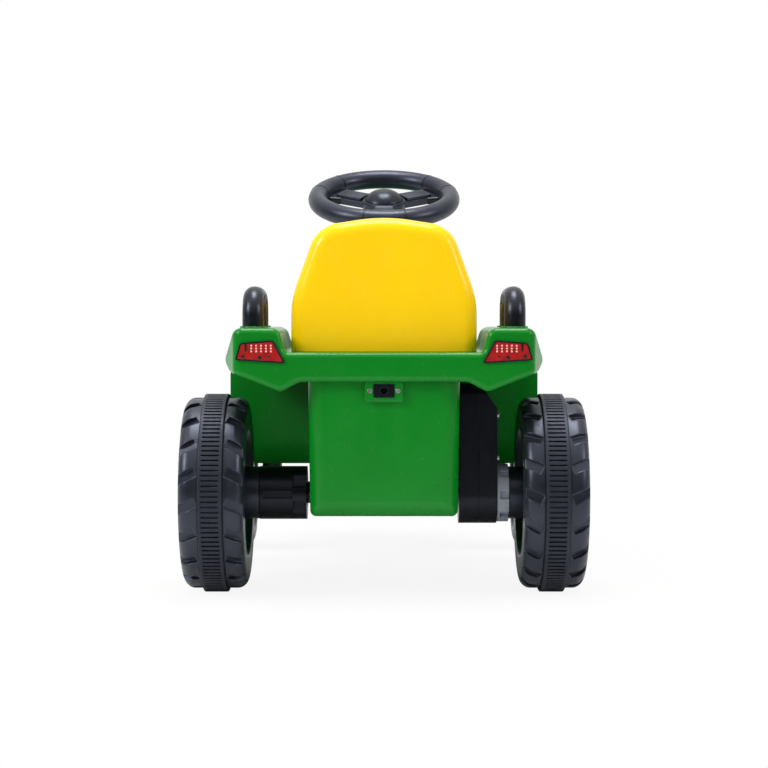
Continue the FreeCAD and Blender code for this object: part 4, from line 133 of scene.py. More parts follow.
@dataclass(frozen=True)
class Ground:
    """Node tree of one material, with the outputs that its patterns read.

    Attributes:
        tree: Node tree of the material.
        place: Output that gives the place on the piece.
        soft: Output that gives the normal with its edges rounded.
    """

    tree: bpy.types.NodeTree
    place: bpy.types.NodeSocket
    soft: bpy.types.NodeSocket


@dataclass(frozen=True)
class Finish:
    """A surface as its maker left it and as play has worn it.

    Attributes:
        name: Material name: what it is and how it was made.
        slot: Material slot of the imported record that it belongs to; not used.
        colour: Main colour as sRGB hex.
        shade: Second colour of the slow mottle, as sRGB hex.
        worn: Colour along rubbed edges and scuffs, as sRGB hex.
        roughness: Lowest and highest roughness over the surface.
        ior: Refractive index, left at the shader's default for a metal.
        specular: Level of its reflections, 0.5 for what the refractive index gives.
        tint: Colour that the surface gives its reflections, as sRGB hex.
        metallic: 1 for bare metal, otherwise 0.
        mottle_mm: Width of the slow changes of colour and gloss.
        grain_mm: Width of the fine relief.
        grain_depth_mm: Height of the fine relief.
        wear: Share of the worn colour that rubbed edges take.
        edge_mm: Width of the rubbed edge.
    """

    name: str
    slot: str
    colour: str
    shade: str
    worn: str
    roughness: tuple[float, float]
    ior: float = 1.5
    specular: float = 0.5
    tint: str = WHITE
    metallic: float = 0.0
    mottle_mm: float = 45.0
    grain_mm: float = 1.4
    grain_depth_mm: float = 0.02
    wear: float = 0.35
    edge_mm: float = 0.9

    def build(self) -> bpy.types.Material:
        """Make the material.

        Returns:
            A node material that reads Object coordinates.
        """
        material = bpy.data.materials.new(self.name)
        material.use_nodes = True
        tree = material.node_tree
        tree.nodes.clear()
        place = add_node(tree, "ShaderNodeTexCoord").outputs["Object"]
        soft = add_node(tree, "ShaderNodeBevel", {"Radius": self.edge_mm * MM}, samples=BEVEL_SAMPLES)
        ground = Ground(tree, place, soft.outputs["Normal"])
        shader = add_node(tree, "ShaderNodeBsdfPrincipled", {
            "Base Color": self.colour_socket(ground),
            "Metallic": self.metallic,
            "Roughness": self.roughness_socket(ground),
            "Normal": self.relief_socket(ground),
        })
        if not self.metallic:
            shader.inputs["IOR"].default_value = self.ior
            shader.inputs["Specular IOR Level"].default_value = self.specular
            shader.inputs["Specular Tint"].default_value = linear(self.tint)
        self.extras(shader)
        add_node(tree, "ShaderNodeOutputMaterial", {"Surface": shader.outputs["BSDF"]})
        material.diffuse_color = linear(self.colour)
        return material

    def colour_socket(self, ground: Ground) -> bpy.types.NodeSocket:
        """Colour with a slow mottle, and the worn colour along edges.

        Args:
            ground: Node tree of the material and what its patterns read.

        Returns:
            Output that carries the colour.
        """
        mottle = add_node(ground.tree, "ShaderNodeTexNoise", {
            "Vector": ground.place, "Scale": per_metre(self.mottle_mm), "Detail": 3.0})
        blend = add_node(ground.tree, "ShaderNodeMapRange", {
            "Value": mottle.outputs["Fac"], "From Min": MOTTLE_SPAN[0], "From Max": MOTTLE_SPAN[1]})
        body = add_node(ground.tree, "ShaderNodeMix", {
            "Factor": blend.outputs["Result"], "A": linear(self.colour), "B": linear(self.shade)}, data_type="RGBA")
        worn = add_node(ground.tree, "ShaderNodeMix", {
            "Factor": self.wear_socket(ground), "A": body.outputs["Result"], "B": linear(self.worn)},
            data_type="RGBA")
        return worn.outputs["Result"]

    def wear_socket(self, ground: Ground) -> bpy.types.NodeSocket:
        """How far each spot is rubbed: along edges, and broken up by a noise.

        Args:
            ground: Node tree of the material and what its patterns read.

        Returns:
            Output that is 0 on untouched surface and up to the wear share on edges.
        """
        flat = add_node(ground.tree, "ShaderNodeNewGeometry")
        same = add_node(ground.tree, "ShaderNodeVectorMath", {0: ground.soft, 1: flat.outputs["Normal"]},
                        operation="DOT_PRODUCT")
        edge = add_node(ground.tree, "ShaderNodeMapRange", {
            "Value": same.outputs["Value"], "From Min": EDGE_FOLD[0], "From Max": EDGE_FOLD[1],
            "To Max": self.wear})
        rubbed = add_node(ground.tree, "ShaderNodeTexNoise", {
            "Vector": ground.place, "Scale": per_metre(PATCH_MM), "Detail": 4.0})
        patches = add_node(ground.tree, "ShaderNodeMapRange", {
            "Value": rubbed.outputs["Fac"], "From Min": PATCH_SPAN[0], "From Max": PATCH_SPAN[1]})
        wear = add_node(ground.tree, "ShaderNodeMath", {
            0: edge.outputs["Result"], 1: patches.outputs["Result"]}, operation="MULTIPLY")
        return wear.outputs["Value"]

    def roughness_socket(self, ground: Ground) -> bpy.types.NodeSocket:
        """Gloss that changes slowly over the surface, with fine handling marks.

        Args:
            ground: Node tree of the material and what its patterns read.

        Returns:
            Output that carries the roughness.
        """
        stretched = add_node(ground.tree, "ShaderNodeMapping", {
            "Vector": ground.place, "Scale": MARK_STRETCH, "Rotation": MARK_TURN})
        marks = add_node(ground.tree, "ShaderNodeTexNoise", {
            "Vector": stretched.outputs["Vector"], "Scale": per_metre(self.mottle_mm / MARKS_PER_MOTTLE),
            "Detail": 3.0, "Roughness": 0.55})
        gloss = add_node(ground.tree, "ShaderNodeMapRange", {
            "Value": marks.outputs["Fac"], "From Min": MARK_SPAN[0], "From Max": MARK_SPAN[1],
            "To Min": self.roughness[0], "To Max": self.roughness[1]})
        return gloss.outputs["Result"]

    def relief_socket(self, ground: Ground) -> bpy.types.NodeSocket:
        """Fine relief of the mould or coating, over rounded edges.

        Args:
            ground: Node tree of the material and what its patterns read.

        Returns:
            Output that carries the bumped normal.
        """
        grain = add_node(ground.tree, "ShaderNodeTexNoise", {
            "Vector": ground.place, "Scale": per_metre(self.grain_mm), "Detail": 2.0})
        return self.bumped(ground, grain)

    def bumped(self, ground: Ground, relief: bpy.types.Node) -> bpy.types.NodeSocket:
        """Raise a pattern to the depth of the relief.

        Args:
            ground: Node tree of the material and what its patterns read.
            relief: Node whose factor is the height.

        Returns:
            Output that carries the bumped normal.
        """
        bump = add_node(ground.tree, "ShaderNodeBump", {
            "Height": relief.outputs["Fac"], "Distance": self.grain_depth_mm * MM, "Strength": 1.0,
            "Normal": ground.soft})
        return bump.outputs["Normal"]

    def extras(self, shader: bpy.types.Node) -> None:
        """Set what only some finishes have; plain ones have nothing more."""


@dataclass(frozen=True)
class RibbedLens(Finish):
    """Clear-tinted lens with moulded flutes that break the light into upright lines."""

    flute_mm: float = 5.0

    def relief_socket(self, ground: Ground) -> bpy.types.NodeSocket:
        """Upright flutes across the lens.

        Args:
            ground: Node tree of the material and what its patterns read.

        Returns:
            Output that carries the bumped normal.
        """
        flutes = add_node(ground.tree, "ShaderNodeTexWave", {
            "Vector": ground.place, "Scale": math.tau * per_metre(self.flute_mm) / WAVE_BANDS},
            bands_direction="X", wave_profile="SIN")
        return self.bumped(ground, flutes)

    def extras(self, shader: bpy.types.Node) -> None:
        """Give the lens a hard clear surface."""
        shader.inputs["Coat Weight"].default_value = 0.6
        shader.inputs["Coat Roughness"].default_value = 0.08


# Carbon black in plastic and rubber gives a slightly blue sheen
COOL_SHEEN = "#dbe4ff"

# Blow-moulded polyethylene: waxy gloss, faint ripple of the parison, paler where it is rubbed
GREEN_BODY = Finish("green polyethylene, blow-moulded", "green_plastic", "#067e1e", "#05781b", "#2f9a44",
                    (0.2, 0.3), ior=1.51, specular=0.28, mottle_mm=70, grain_mm=2.6, grain_depth_mm=0.03,
                    wear=0.3, edge_mm=1.6)
YELLOW_SEAT = Finish("yellow polyethylene, blow-moulded", "yellow_plastic", "#ffd000", "#fdca00", "#ffe27a",
                     (0.2, 0.3), ior=1.51, specular=0.28, mottle_mm=80, grain_mm=2.6, grain_depth_mm=0.03,
                     wear=0.2, edge_mm=1.6)
# Blow-moulded black polyethylene of the tyres: satin with a bluish sheen and a greyer, scuffed tread
BLACK_TYRE = Finish("black polyethylene, blow-moulded", "wheel_plastic", "#16181e", "#1d1f27", "#424652",
                    (0.3, 0.42), ior=1.51, specular=0.7, tint=COOL_SHEEN, mottle_mm=25, grain_mm=1.6,
                    grain_depth_mm=0.05, wear=0.45, edge_mm=2.2)
# Moulded rubber strip round the tyre: dull, with dust in its ribs
TREAD_RUBBER = Finish("black rubber, moulded", "belt_rubber", "#15161c", "#1d1f28", "#3e424e", (0.44, 0.58),
                      ior=1.52, tint=COOL_SHEEN, mottle_mm=18, grain_mm=1.0, grain_depth_mm=0.05, wear=0.45,
                      edge_mm=0.8)
# Injection-moulded polypropylene with a spark-eroded texture: satin black, small even grain
BLACK_TRIM = Finish("black polypropylene, injection-moulded", "black_plastic", "#08090b", "#0e0f12", "#34363c",
                    (0.28, 0.4), ior=1.49, specular=0.35, tint=COOL_SHEEN, mottle_mm=20, grain_mm=0.9,
                    grain_depth_mm=0.03, edge_mm=0.9)
# Slush-moulded skin of the steering wheel: greyer than the hard trim, with a broad sheen
BLACK_GRIP = Finish("black polyvinyl chloride, slush-moulded", "black_plastic", "#1c1e27", "#232630", "#404450",
                    (0.3, 0.4), ior=1.53, specular=0.55, tint=COOL_SHEEN, mottle_mm=20, grain_mm=1.1,
                    grain_depth_mm=0.03, edge_mm=1.2)
# Extruded and bent tube with a soft skin: a little glossier than the grained mouldings
BLACK_TUBE = Finish("black polyethylene tube, bent", "black_plastic", "#0f1013", "#15161a", "#3c3e44", (0.26, 0.38),
                    ior=1.51, tint=COOL_SHEEN, mottle_mm=18, grain_mm=1.2, grain_depth_mm=0.02)
# Printed polycarbonate film: deep red under a clear gloss, with pale moulded dots and dark printed marks
RED_LENS = Finish("red polycarbonate film, printed", "red_lens", "#b41f1d", "#8e1615", "#d8675c", (0.14, 0.24),
                  ior=1.58, mottle_mm=9, grain_mm=0.8, grain_depth_mm=0.015, wear=0.2)
RED_DOTS = Finish("pale red polycarbonate, moulded", "red_lens", "#ffcabf", "#ffb4a6", "#ffe2da", (0.18, 0.28),
                  ior=1.58, mottle_mm=3, grain_mm=0.8, grain_depth_mm=0.01)
DARK_PRINT = Finish("dark ink, screen-printed", "red_lens", "#230d0d", "#301513", "#4a2a26", (0.3, 0.42), ior=1.5,
                    mottle_mm=5, grain_mm=0.7, grain_depth_mm=0.008)
WHITE_PRINT = Finish("white ink, screen-printed", "black_plastic", "#e6e6e0", "#dadad3", "#f4f4f0", (0.3, 0.42),
                     ior=1.5, mottle_mm=5, grain_mm=0.7, grain_depth_mm=0.008, wear=0.2)
# Clear polycarbonate over a bright reflector: upright flutes break the reflections into lines
CLEAR_LENS = RibbedLens("clear polycarbonate, fluted", "lamp_lens", "#dfe3e4", "#cdd3d6", "#f4f6f6", (0.08, 0.16),
                        ior=1.58, mottle_mm=12, grain_depth_mm=0.4)
# Natural and grey nylon: dull, slightly waxy, with flow marks
GREY_NYLON = Finish("grey nylon, injection-moulded", "grey_nylon", "#a4aab8", "#969cab", "#c0c5d0", (0.38, 0.5),
                    ior=1.53, mottle_mm=10, grain_mm=0.9, grain_depth_mm=0.02)
GEAR_NYLON = Finish("natural nylon, injection-moulded", "gear_nylon", "#dcd9cc", "#cfcbbb", "#efede4", (0.38, 0.5),
                    ior=1.53, mottle_mm=10, grain_mm=0.9, grain_depth_mm=0.02)
# Bright zinc plating: cool metal with cloudy passivation and small pits
ZINC_STEEL = Finish("steel, zinc-plated", "zinc_steel", "#c3c5c4", "#a9abab", "#e0e1e0", (0.26, 0.42), metallic=1.0,
                    mottle_mm=6, grain_mm=0.7, grain_depth_mm=0.01, wear=0.5, edge_mm=0.4)
# Powder coat: the slight orange peel of baked paint, steel grey where a corner has chipped
COATED_STEEL = Finish("steel, powder-coated", "coated_steel", "#1b1c1f", "#222327", "#6d6f73", (0.36, 0.5), ior=1.5,
                      mottle_mm=16, grain_mm=1.3, grain_depth_mm=0.04, wear=0.6, edge_mm=0.6)


class Wardrobe:
    """Materials made so far, one for each finish."""

    def __init__(self) -> None:
        """Start with no material."""
        self.made: dict[str, bpy.types.Material] = {}

    def material(self, finish: Finish) -> bpy.types.Material:
        """Material of a finish, made at first use.

        Args:
            finish: Finish to look up.

        Returns:
            Its material.
        """
        if finish.name not in self.made:
            self.made[finish.name] = finish.build()
        return self.made[finish.name]

    def dress(self, piece: bpy.types.Object, finish: Finish) -> None:
        """Give a piece one finish all over."""
        piece.data.materials.clear()
        piece.data.materials.append(self.material(finish))

    def dress_nodes(self, finish: Finish, *nodes: str) -> None:
        """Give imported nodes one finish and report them.

        Args:
            finish: Finish of the nodes.
            nodes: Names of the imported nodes.
        """
        for node in nodes:
            self.dress(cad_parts[node], finish)
            log.info("%s: %s", node, finish.name)

    def add_piece(self, name: str, shape: bmesh.types.BMesh, body: str, finish: Finish) -> bpy.types.Object:
        """Turn a finished bmesh into a dressed piece that rides on a body.

        Args:
            name: Name of the piece.
            shape: Its shape, in metres in the shared frame; it is freed here.
            body: Body that carries the piece.
            finish: Finish of the piece.

        Returns:
            The new object.
        """
        bmesh.ops.remove_doubles(shape, verts=shape.verts, dist=MERGE_MM * MM)
        bmesh.ops.recalc_face_normals(shape, faces=shape.faces)
        mesh = bpy.data.meshes.new(name)
        shape.to_mesh(mesh)
        shape.free()
        piece = bpy.data.objects.new(name, mesh)
        bpy.context.scene.collection.objects.link(piece)
        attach(piece, body)
        self.dress(piece, finish)
        log.info("%s: %s", name, finish.name)
        return piece


@dataclass
class Wheels:
    """Four blow-moulded wheels with a rubber strip round the tread and a hubcap each."""

    wardrobe: Wardrobe

    def build(self) -> None:
        """Dress the tyres, tread strips and hubcaps."""
        for axle in Axle:
            for side in Side:
                self.wardrobe.dress_nodes(BLACK_TYRE, f"{axle.value}_tyre_{side.word}")
                self.wardrobe.dress_nodes(TREAD_RUBBER, f"{axle.value}_belt_{side.word}")
                self.wardrobe.dress_nodes(YELLOW_SEAT, f"{axle.value}_hubcap_{side.word}")


@dataclass
class Bodywork:
    """Moulded body: tub, bumper with fenders, steps, bonnet, seat, handles and their screws."""

    wardrobe: Wardrobe

    def build(self) -> None:
        """Dress the mouldings."""
        self.wardrobe.dress_nodes(GREEN_BODY, "chassis_tub", "rear_body", "step_panel_left", "step_panel_right",
                                  "bonnet")
        self.wardrobe.dress_nodes(YELLOW_SEAT, "seat")
        self.wardrobe.dress_nodes(BLACK_TUBE, "grab_handle_left", "grab_handle_right")
        self.wardrobe.dress_nodes(BLACK_TRIM, "charging_socket", "dashboard", "front_grille", "front_bumper")
        self.wardrobe.dress_nodes(CLEAR_LENS, "headlamps")
        self.wardrobe.dress_nodes(ZINC_STEEL, "socket_screws", "body_screws")


def plate(corners: list[tuple[float, float]], depth: tuple[float, float], corner_mm: float) -> bmesh.types.BMesh:
    """Make an upright plate from its corners as seen from behind.

    Args:
        corners: Corners in order, each its X and Z in millimetres.
        depth: Y of its rear face and of its front face in millimetres.
        corner_mm: Radius of its corners in millimetres.

    Returns:
        A closed plate in metres.
    """
    shape = bmesh.new()
    shape.faces.new([shape.verts.new((x * MM, depth[0] * MM, z * MM)) for x, z in corners])
    bmesh.ops.bevel(shape, geom=shape.verts, offset=corner_mm * MM, offset_type="OFFSET",
                    segments=CORNER_FACES, profile=0.5, affect="VERTICES", material=-1)
    grown = bmesh.ops.extrude_face_region(shape, geom=shape.faces, use_keep_orig=True)
    bmesh.ops.translate(shape, vec=(0.0, (depth[1] - depth[0]) * MM, 0.0),
                        verts=[item for item in grown["geom"] if isinstance(item, bmesh.types.BMVert)])
    return shape


def frame_strip(corners: list[tuple[float, float]], depth: tuple[float, float], corner_mm: float,
                width_mm: float) -> bmesh.types.BMesh:
    """Make a flat upright frame from its outer corners as seen from behind.

    Args:
        corners: Outer corners in order, each its X and Z in millimetres.
        depth: Y of its rear face and of its front face in millimetres.
        corner_mm: Radius of its outer corners in millimetres.
        width_mm: Width of the strip in millimetres.

    Returns:
        A closed frame in metres.
    """
    shape = plate(corners, depth, corner_mm)
    rear = min(shape.faces, key=lambda item: item.calc_center_median().y)
    front = max(shape.faces, key=lambda item: item.calc_center_median().y)
    bmesh.ops.inset_region(shape, faces=[rear, front], thickness=width_mm * MM, use_even_offset=True)
    loops = [edge for middle in (rear, front) for edge in middle.edges]
    bmesh.ops.delete(shape, geom=[rear, front], context="FACES_ONLY")
    bmesh.ops.bridge_loops(shape, edges=loops)
    return shape


def ring(radius_mm: float, thick_mm: float, steps: int) -> bmesh.types.BMesh:
    """Make a round lip about the Z axis.

    Args:
        radius_mm: Radius of the middle of the lip in millimetres.
        thick_mm: Radius of its section in millimetres.
        steps: Faces round the lip.

    Returns:
        A closed ring in metres.
    """
    shape = bmesh.new()
    stand = Matrix.Translation((radius_mm * MM, 0.0, 0.0)) @ Matrix.Rotation(math.radians(90), 4, "X")
    made = bmesh.ops.create_circle(shape, segments=LIP_FACES, radius=thick_mm * MM, matrix=stand)
    edges = list({edge for corner in made["verts"] for edge in corner.link_edges})
    bmesh.ops.spin(shape, geom=made["verts"] + edges, axis=(0.0, 0.0, 1.0), cent=(0.0, 0.0, 0.0), steps=steps,
                   angle=math.tau, use_merge=True, use_duplicate=False)
    return shape


@dataclass
class TailLamp:
    """Red tail lamp with its black border, its rows of bright dots and its dark marks.

    Attributes:
        wardrobe: Materials of the toy.
        side: Side that the lamp sits on.
        outline_mm: Corners of the right lamp, X and Z.
        corner_mm: Radius of its corners.
        lens_mm: Depth of the lens that the border wraps.
        border_mm: Width of the black border.
        proud_mm: How far border, dots and marks stand out of the lens.
        dot_grid_mm: X and Z of the innermost lower dot, then the steps outwards and upwards.
        dot_counts: Dots in a row, and rows.
        dot_radius_mm: Radius of a dot.
        spots_mm: X, Z and radius of each dark round mark.
        bar_mm: X, Z, half width and half height of the dark upright bar.
        dot_faces: Faces round a dot and from pole to pole.
        spot_faces: Faces round a spot.
        spot_taper: Share of a spot's radius that its outer face has.
    """

    wardrobe: Wardrobe
    side: Side
    outline_mm: tuple[tuple[float, float], ...] = ((142.1, 259.4), (109.4, 262.0), (97.4, 239.2), (147.3, 242.3))
    corner_mm: float = 2.4
    lens_mm: float = 1.4
    border_mm: float = 1.5
    proud_mm: float = 0.35
    dot_grid_mm: tuple[float, float, float, float] = (111.5, 251.0, 4.85, 2.85)
    dot_counts: tuple[int, int] = (5, 3)
    dot_radius_mm: float = 1.0
    spots_mm: tuple[tuple[float, float, float], ...] = (
        (139.2, 246.3, 1.9), (122.6, 245.0, 2.1), (113.6, 246.2, 1.1))
    bar_mm: tuple[float, float, float, float] = (136.4, 254.6, 1.1, 3.6)
    dot_faces: tuple[int, int] = (10, 6)
    spot_faces: int = 24
    spot_taper: float = 0.92

    def build(self) -> None:
        """Dress the lens and add its border, dots and marks."""
        node = f"tail_lamp_{self.side.word}"
        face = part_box(node)[0][1] / MM
        self.wardrobe.dress_nodes(RED_LENS, node)
        self.add("border", self.border(face), BLACK_TRIM)
        self.add("dots", self.dots(face), RED_DOTS)
        self.add("marks", self.marks(face), DARK_PRINT)

    def add(self, part: str, shape: bmesh.types.BMesh, finish: Finish) -> None:
        """Finish one piece of the lamp.

        Args:
            part: What the piece is.
            shape: Its shape, freed here.
            finish: Its finish.
        """
        self.wardrobe.add_piece(f"tail_lamp_{part}_{self.side.word}", shape, "chassis", finish)

    def border(self, face: float) -> bmesh.types.BMesh:
        """Flat frame along the edge of the lens.

        Args:
            face: Y of the lens face in millimetres.

        Returns:
            The frame.
        """
        corners = [(x * self.side.value, z) for x, z in self.outline_mm]
        return frame_strip(corners, (face - self.proud_mm, face + self.lens_mm), self.corner_mm, self.border_mm)

    def dots(self, face: float) -> bmesh.types.BMesh:
        """Grid of small domes that stand out of the lens.

        Args:
            face: Y of the lens face in millimetres.

        Returns:
            The domes in one mesh.
        """
        shape = bmesh.new()
        inner, foot, across, up = self.dot_grid_mm
        for column in range(self.dot_counts[0]):
            for row in range(self.dot_counts[1]):
                place = Vector(((inner + across * column) * self.side.value, face, foot + up * row)) * MM
                flat = Matrix.Diagonal((1.0, self.proud_mm / self.dot_radius_mm, 1.0, 1.0))
                bmesh.ops.create_uvsphere(shape, u_segments=self.dot_faces[0], v_segments=self.dot_faces[1],
                                          radius=self.dot_radius_mm * MM, matrix=Matrix.Translation(place) @ flat)
        return shape

    def marks(self, face: float) -> bmesh.types.BMesh:
        """Dark round spots and the upright bar behind the lens.

        Args:
            face: Y of the lens face in millimetres.

        Returns:
            The marks in one mesh.
        """
        shape = bmesh.new()
        upright = Matrix.Rotation(math.radians(90), 4, "X")
        for x, z, radius in self.spots_mm:
            place = Matrix.Translation(Vector((x * self.side.value, face, z)) * MM)
            bmesh.ops.create_cone(shape, cap_ends=True, segments=self.spot_faces, radius1=radius * MM,
                                  radius2=radius * MM * self.spot_taper, depth=self.proud_mm * MM,
                                  matrix=place @ upright)
        x, z, half_width, half_height = self.bar_mm
        size = Matrix.Diagonal((2 * half_width * MM, self.proud_mm * MM, 2 * half_height * MM, 1.0))
        place = Matrix.Translation(Vector((x * self.side.value, face, z)) * MM)
        bmesh.ops.create_cube(shape, size=1.0, matrix=place @ size)
        return shape


@dataclass
class SteeringWheel:
    """Steering wheel with its rim, its three spokes, their inlays and the domed cap.

    Attributes:
        wardrobe: Materials of the toy.
        centre_mm: Middle of the wheel.
        tilt: How far the column leans towards the rider, in degrees.
        spokes: Directions of the spokes in the wheel's plane, in degrees from the rider's right.
        rim_mm: Radius of the middle of the rim and of its tube.
        collar: Angle from a spoke to the seams beside it, and the angle that a seam's lip takes.
        collar_proud_mm: How far the lip of a seam stands out of the tube.
        root_mm: Start, end, half width and half thickness of the flare between spoke and rim.
        root_flare: How much wider and thicker the flare is at the rim.
        inlay_mm: Start, end, half width and rise of the raised panel on a spoke.
        inlay_rim_mm: Width and depth of the panel's own border.
        root_round_mm: Radius of the flare's edges.
        spoke_mm: Height of the spokes' middle and of their upper face over the wheel's middle.
        ring_mm: Radius, height and thickness of the lip round the cap.
        seam_faces: Faces round a seam's lip.
        root_faces: Faces across a rounded edge of the flare.
        ring_faces: Faces round the lip of the cap.
    """

    wardrobe: Wardrobe
    centre_mm: tuple[float, float, float] = (0.0, 43.75, 421.0)
    tilt: float = 21.0
    spokes: tuple[float, ...] = (30.0, 150.0, 270.0)
    rim_mm: tuple[float, float] = (77.0, 11.0)
    collar: tuple[float, float] = (16.5, 0.9)
    collar_proud_mm: float = 0.3
    root_mm: tuple[float, float, float, float] = (50.0, 71.0, 13.4, 4.2)
    root_flare: tuple[float, float] = (1.6, 1.0)
    root_round_mm: float = 2.6
    inlay_mm: tuple[float, float, float, float] = (26.0, 58.0, 10.5, 3.6)
    inlay_rim_mm: tuple[float, float] = (2.2, 0.9)
    spoke_mm: tuple[float, float] = (-7.5, -4.0)
    ring_mm: tuple[float, float, float] = (23.0, -1.9, 1.1)
    seam_faces: int = 28
    root_faces: int = 4
    ring_faces: int = 64

    def build(self) -> None:
        """Dress the wheel and its column, and add what is set into it."""
        self.wardrobe.dress_nodes(BLACK_GRIP, "steering_wheel")
        self.wardrobe.dress_nodes(BLACK_TUBE, "steering_hub_cap")
        self.wardrobe.dress_nodes(BLACK_TRIM, "column_bushes")
        self.wardrobe.dress_nodes(ZINC_STEEL, "steering_column")
        self.add("steering_rim_seams", self.seams(), BLACK_TRIM)
        self.add("steering_spoke_roots", self.roots(), BLACK_GRIP)
        self.add("steering_spoke_inlays", self.inlays(), BLACK_GRIP)
        self.add("steering_cap_lip", self.cap_lip(), BLACK_GRIP)

    def add(self, name: str, shape: bmesh.types.BMesh, finish: Finish) -> None:
        """Lean a piece with the column, then finish it.

        Args:
            name: Name of the piece.
            shape: Its shape round the origin, freed here.
            finish: Its finish.
        """
        lean = Matrix.Translation(Vector(self.centre_mm) * MM) @ Matrix.Rotation(math.radians(self.tilt), 4, "X")
        bmesh.ops.transform(shape, matrix=lean, verts=shape.verts)
        self.wardrobe.add_piece(name, shape, "steering", finish)

    def seams(self) -> bmesh.types.BMesh:
        """Thin lips on both sides of each spoke, where the grip of the rim ends.

        Returns:
            The lips in one mesh.
        """
        shape = bmesh.new()
        reach, tube = self.rim_mm
        for spoke in self.spokes:
            for offset in (-self.collar[0], self.collar[0]):
                turn = Matrix.Rotation(math.radians(spoke + offset), 4, "Z")
                stand = Matrix.Translation((reach * MM, 0.0, 0.0)) @ Matrix.Rotation(math.radians(90), 4, "X")
                made = bmesh.ops.create_circle(shape, cap_ends=True, segments=self.seam_faces,
                                               radius=(tube + self.collar_proud_mm) * MM, matrix=turn @ stand)
                disc = {face for corner in made["verts"] for face in corner.link_faces}
                bmesh.ops.spin(shape, geom=list(disc), axis=(0.0, 0.0, 1.0), cent=(0.0, 0.0, 0.0), steps=1,
                               angle=math.radians(self.collar[1]), use_duplicate=False)
        return shape

    def roots(self) -> bmesh.types.BMesh:
        """Flares that carry each spoke into the rim.

        Returns:
            The flares in one mesh.
        """
        shape = bmesh.new()
        start, end, half_width, half_thick = self.root_mm
        for spoke in self.spokes:
            size = Matrix.Diagonal(((end - start) * MM, 2 * half_width * MM, 2 * half_thick * MM, 1.0))
            middle = Vector(((start + end) / 2, 0.0, self.spoke_mm[0])) * MM
            made = bmesh.ops.create_cube(shape, size=1.0, matrix=Matrix.Translation(middle) @ size)
            outer = [corner for corner in made["verts"] if corner.co.x > middle.x]
            bmesh.ops.scale(shape, vec=(1.0, *self.root_flare), verts=outer)
            edges = list({edge for corner in made["verts"] for edge in corner.link_edges})
            rounded = bmesh.ops.bevel(shape, geom=edges, offset=self.root_round_mm * MM, offset_type="OFFSET",
                                      segments=self.root_faces, profile=0.5, affect="EDGES", material=-1)
            block = {corner for face in rounded["faces"] for corner in face.verts}
            bmesh.ops.rotate(shape, cent=(0.0, 0.0, 0.0), matrix=Matrix.Rotation(math.radians(spoke), 3, "Z"),
                             verts=list(block))
        return shape

    def inlays(self) -> bmesh.types.BMesh:
        """Raised panels on the spokes, each with a sunk middle.

        Returns:
            The panels in one mesh.
        """
        shape = bmesh.new()
        start, end, half_width, rise = self.inlay_mm
        for spoke in self.spokes:
            middle = Vector(((start + end) / 2, 0.0, self.spoke_mm[1] + rise / 2)) * MM
            size = Matrix.Diagonal(((end - start) * MM, 2 * half_width * MM, rise * MM, 1.0))
            turn = Matrix.Rotation(math.radians(spoke), 4, "Z")
            made = bmesh.ops.create_cube(shape, size=1.0, matrix=turn @ Matrix.Translation(middle) @ size)
            faces = {face for corner in made["verts"] for face in corner.link_faces}
            top = max(faces, key=lambda item: item.calc_center_median().z)
            bmesh.ops.inset_region(shape, faces=[top], thickness=self.inlay_rim_mm[0] * MM,
                                   depth=-self.inlay_rim_mm[1] * MM)
        return shape

    def cap_lip(self) -> bmesh.types.BMesh:
        """Rounded lip round the foot of the cap.

        Returns:
            The lip.
        """
        radius, height, thick = self.ring_mm
        shape = ring(radius, thick, self.ring_faces)
        bmesh.ops.translate(shape, vec=(0.0, 0.0, height * MM), verts=shape.verts)
        return shape


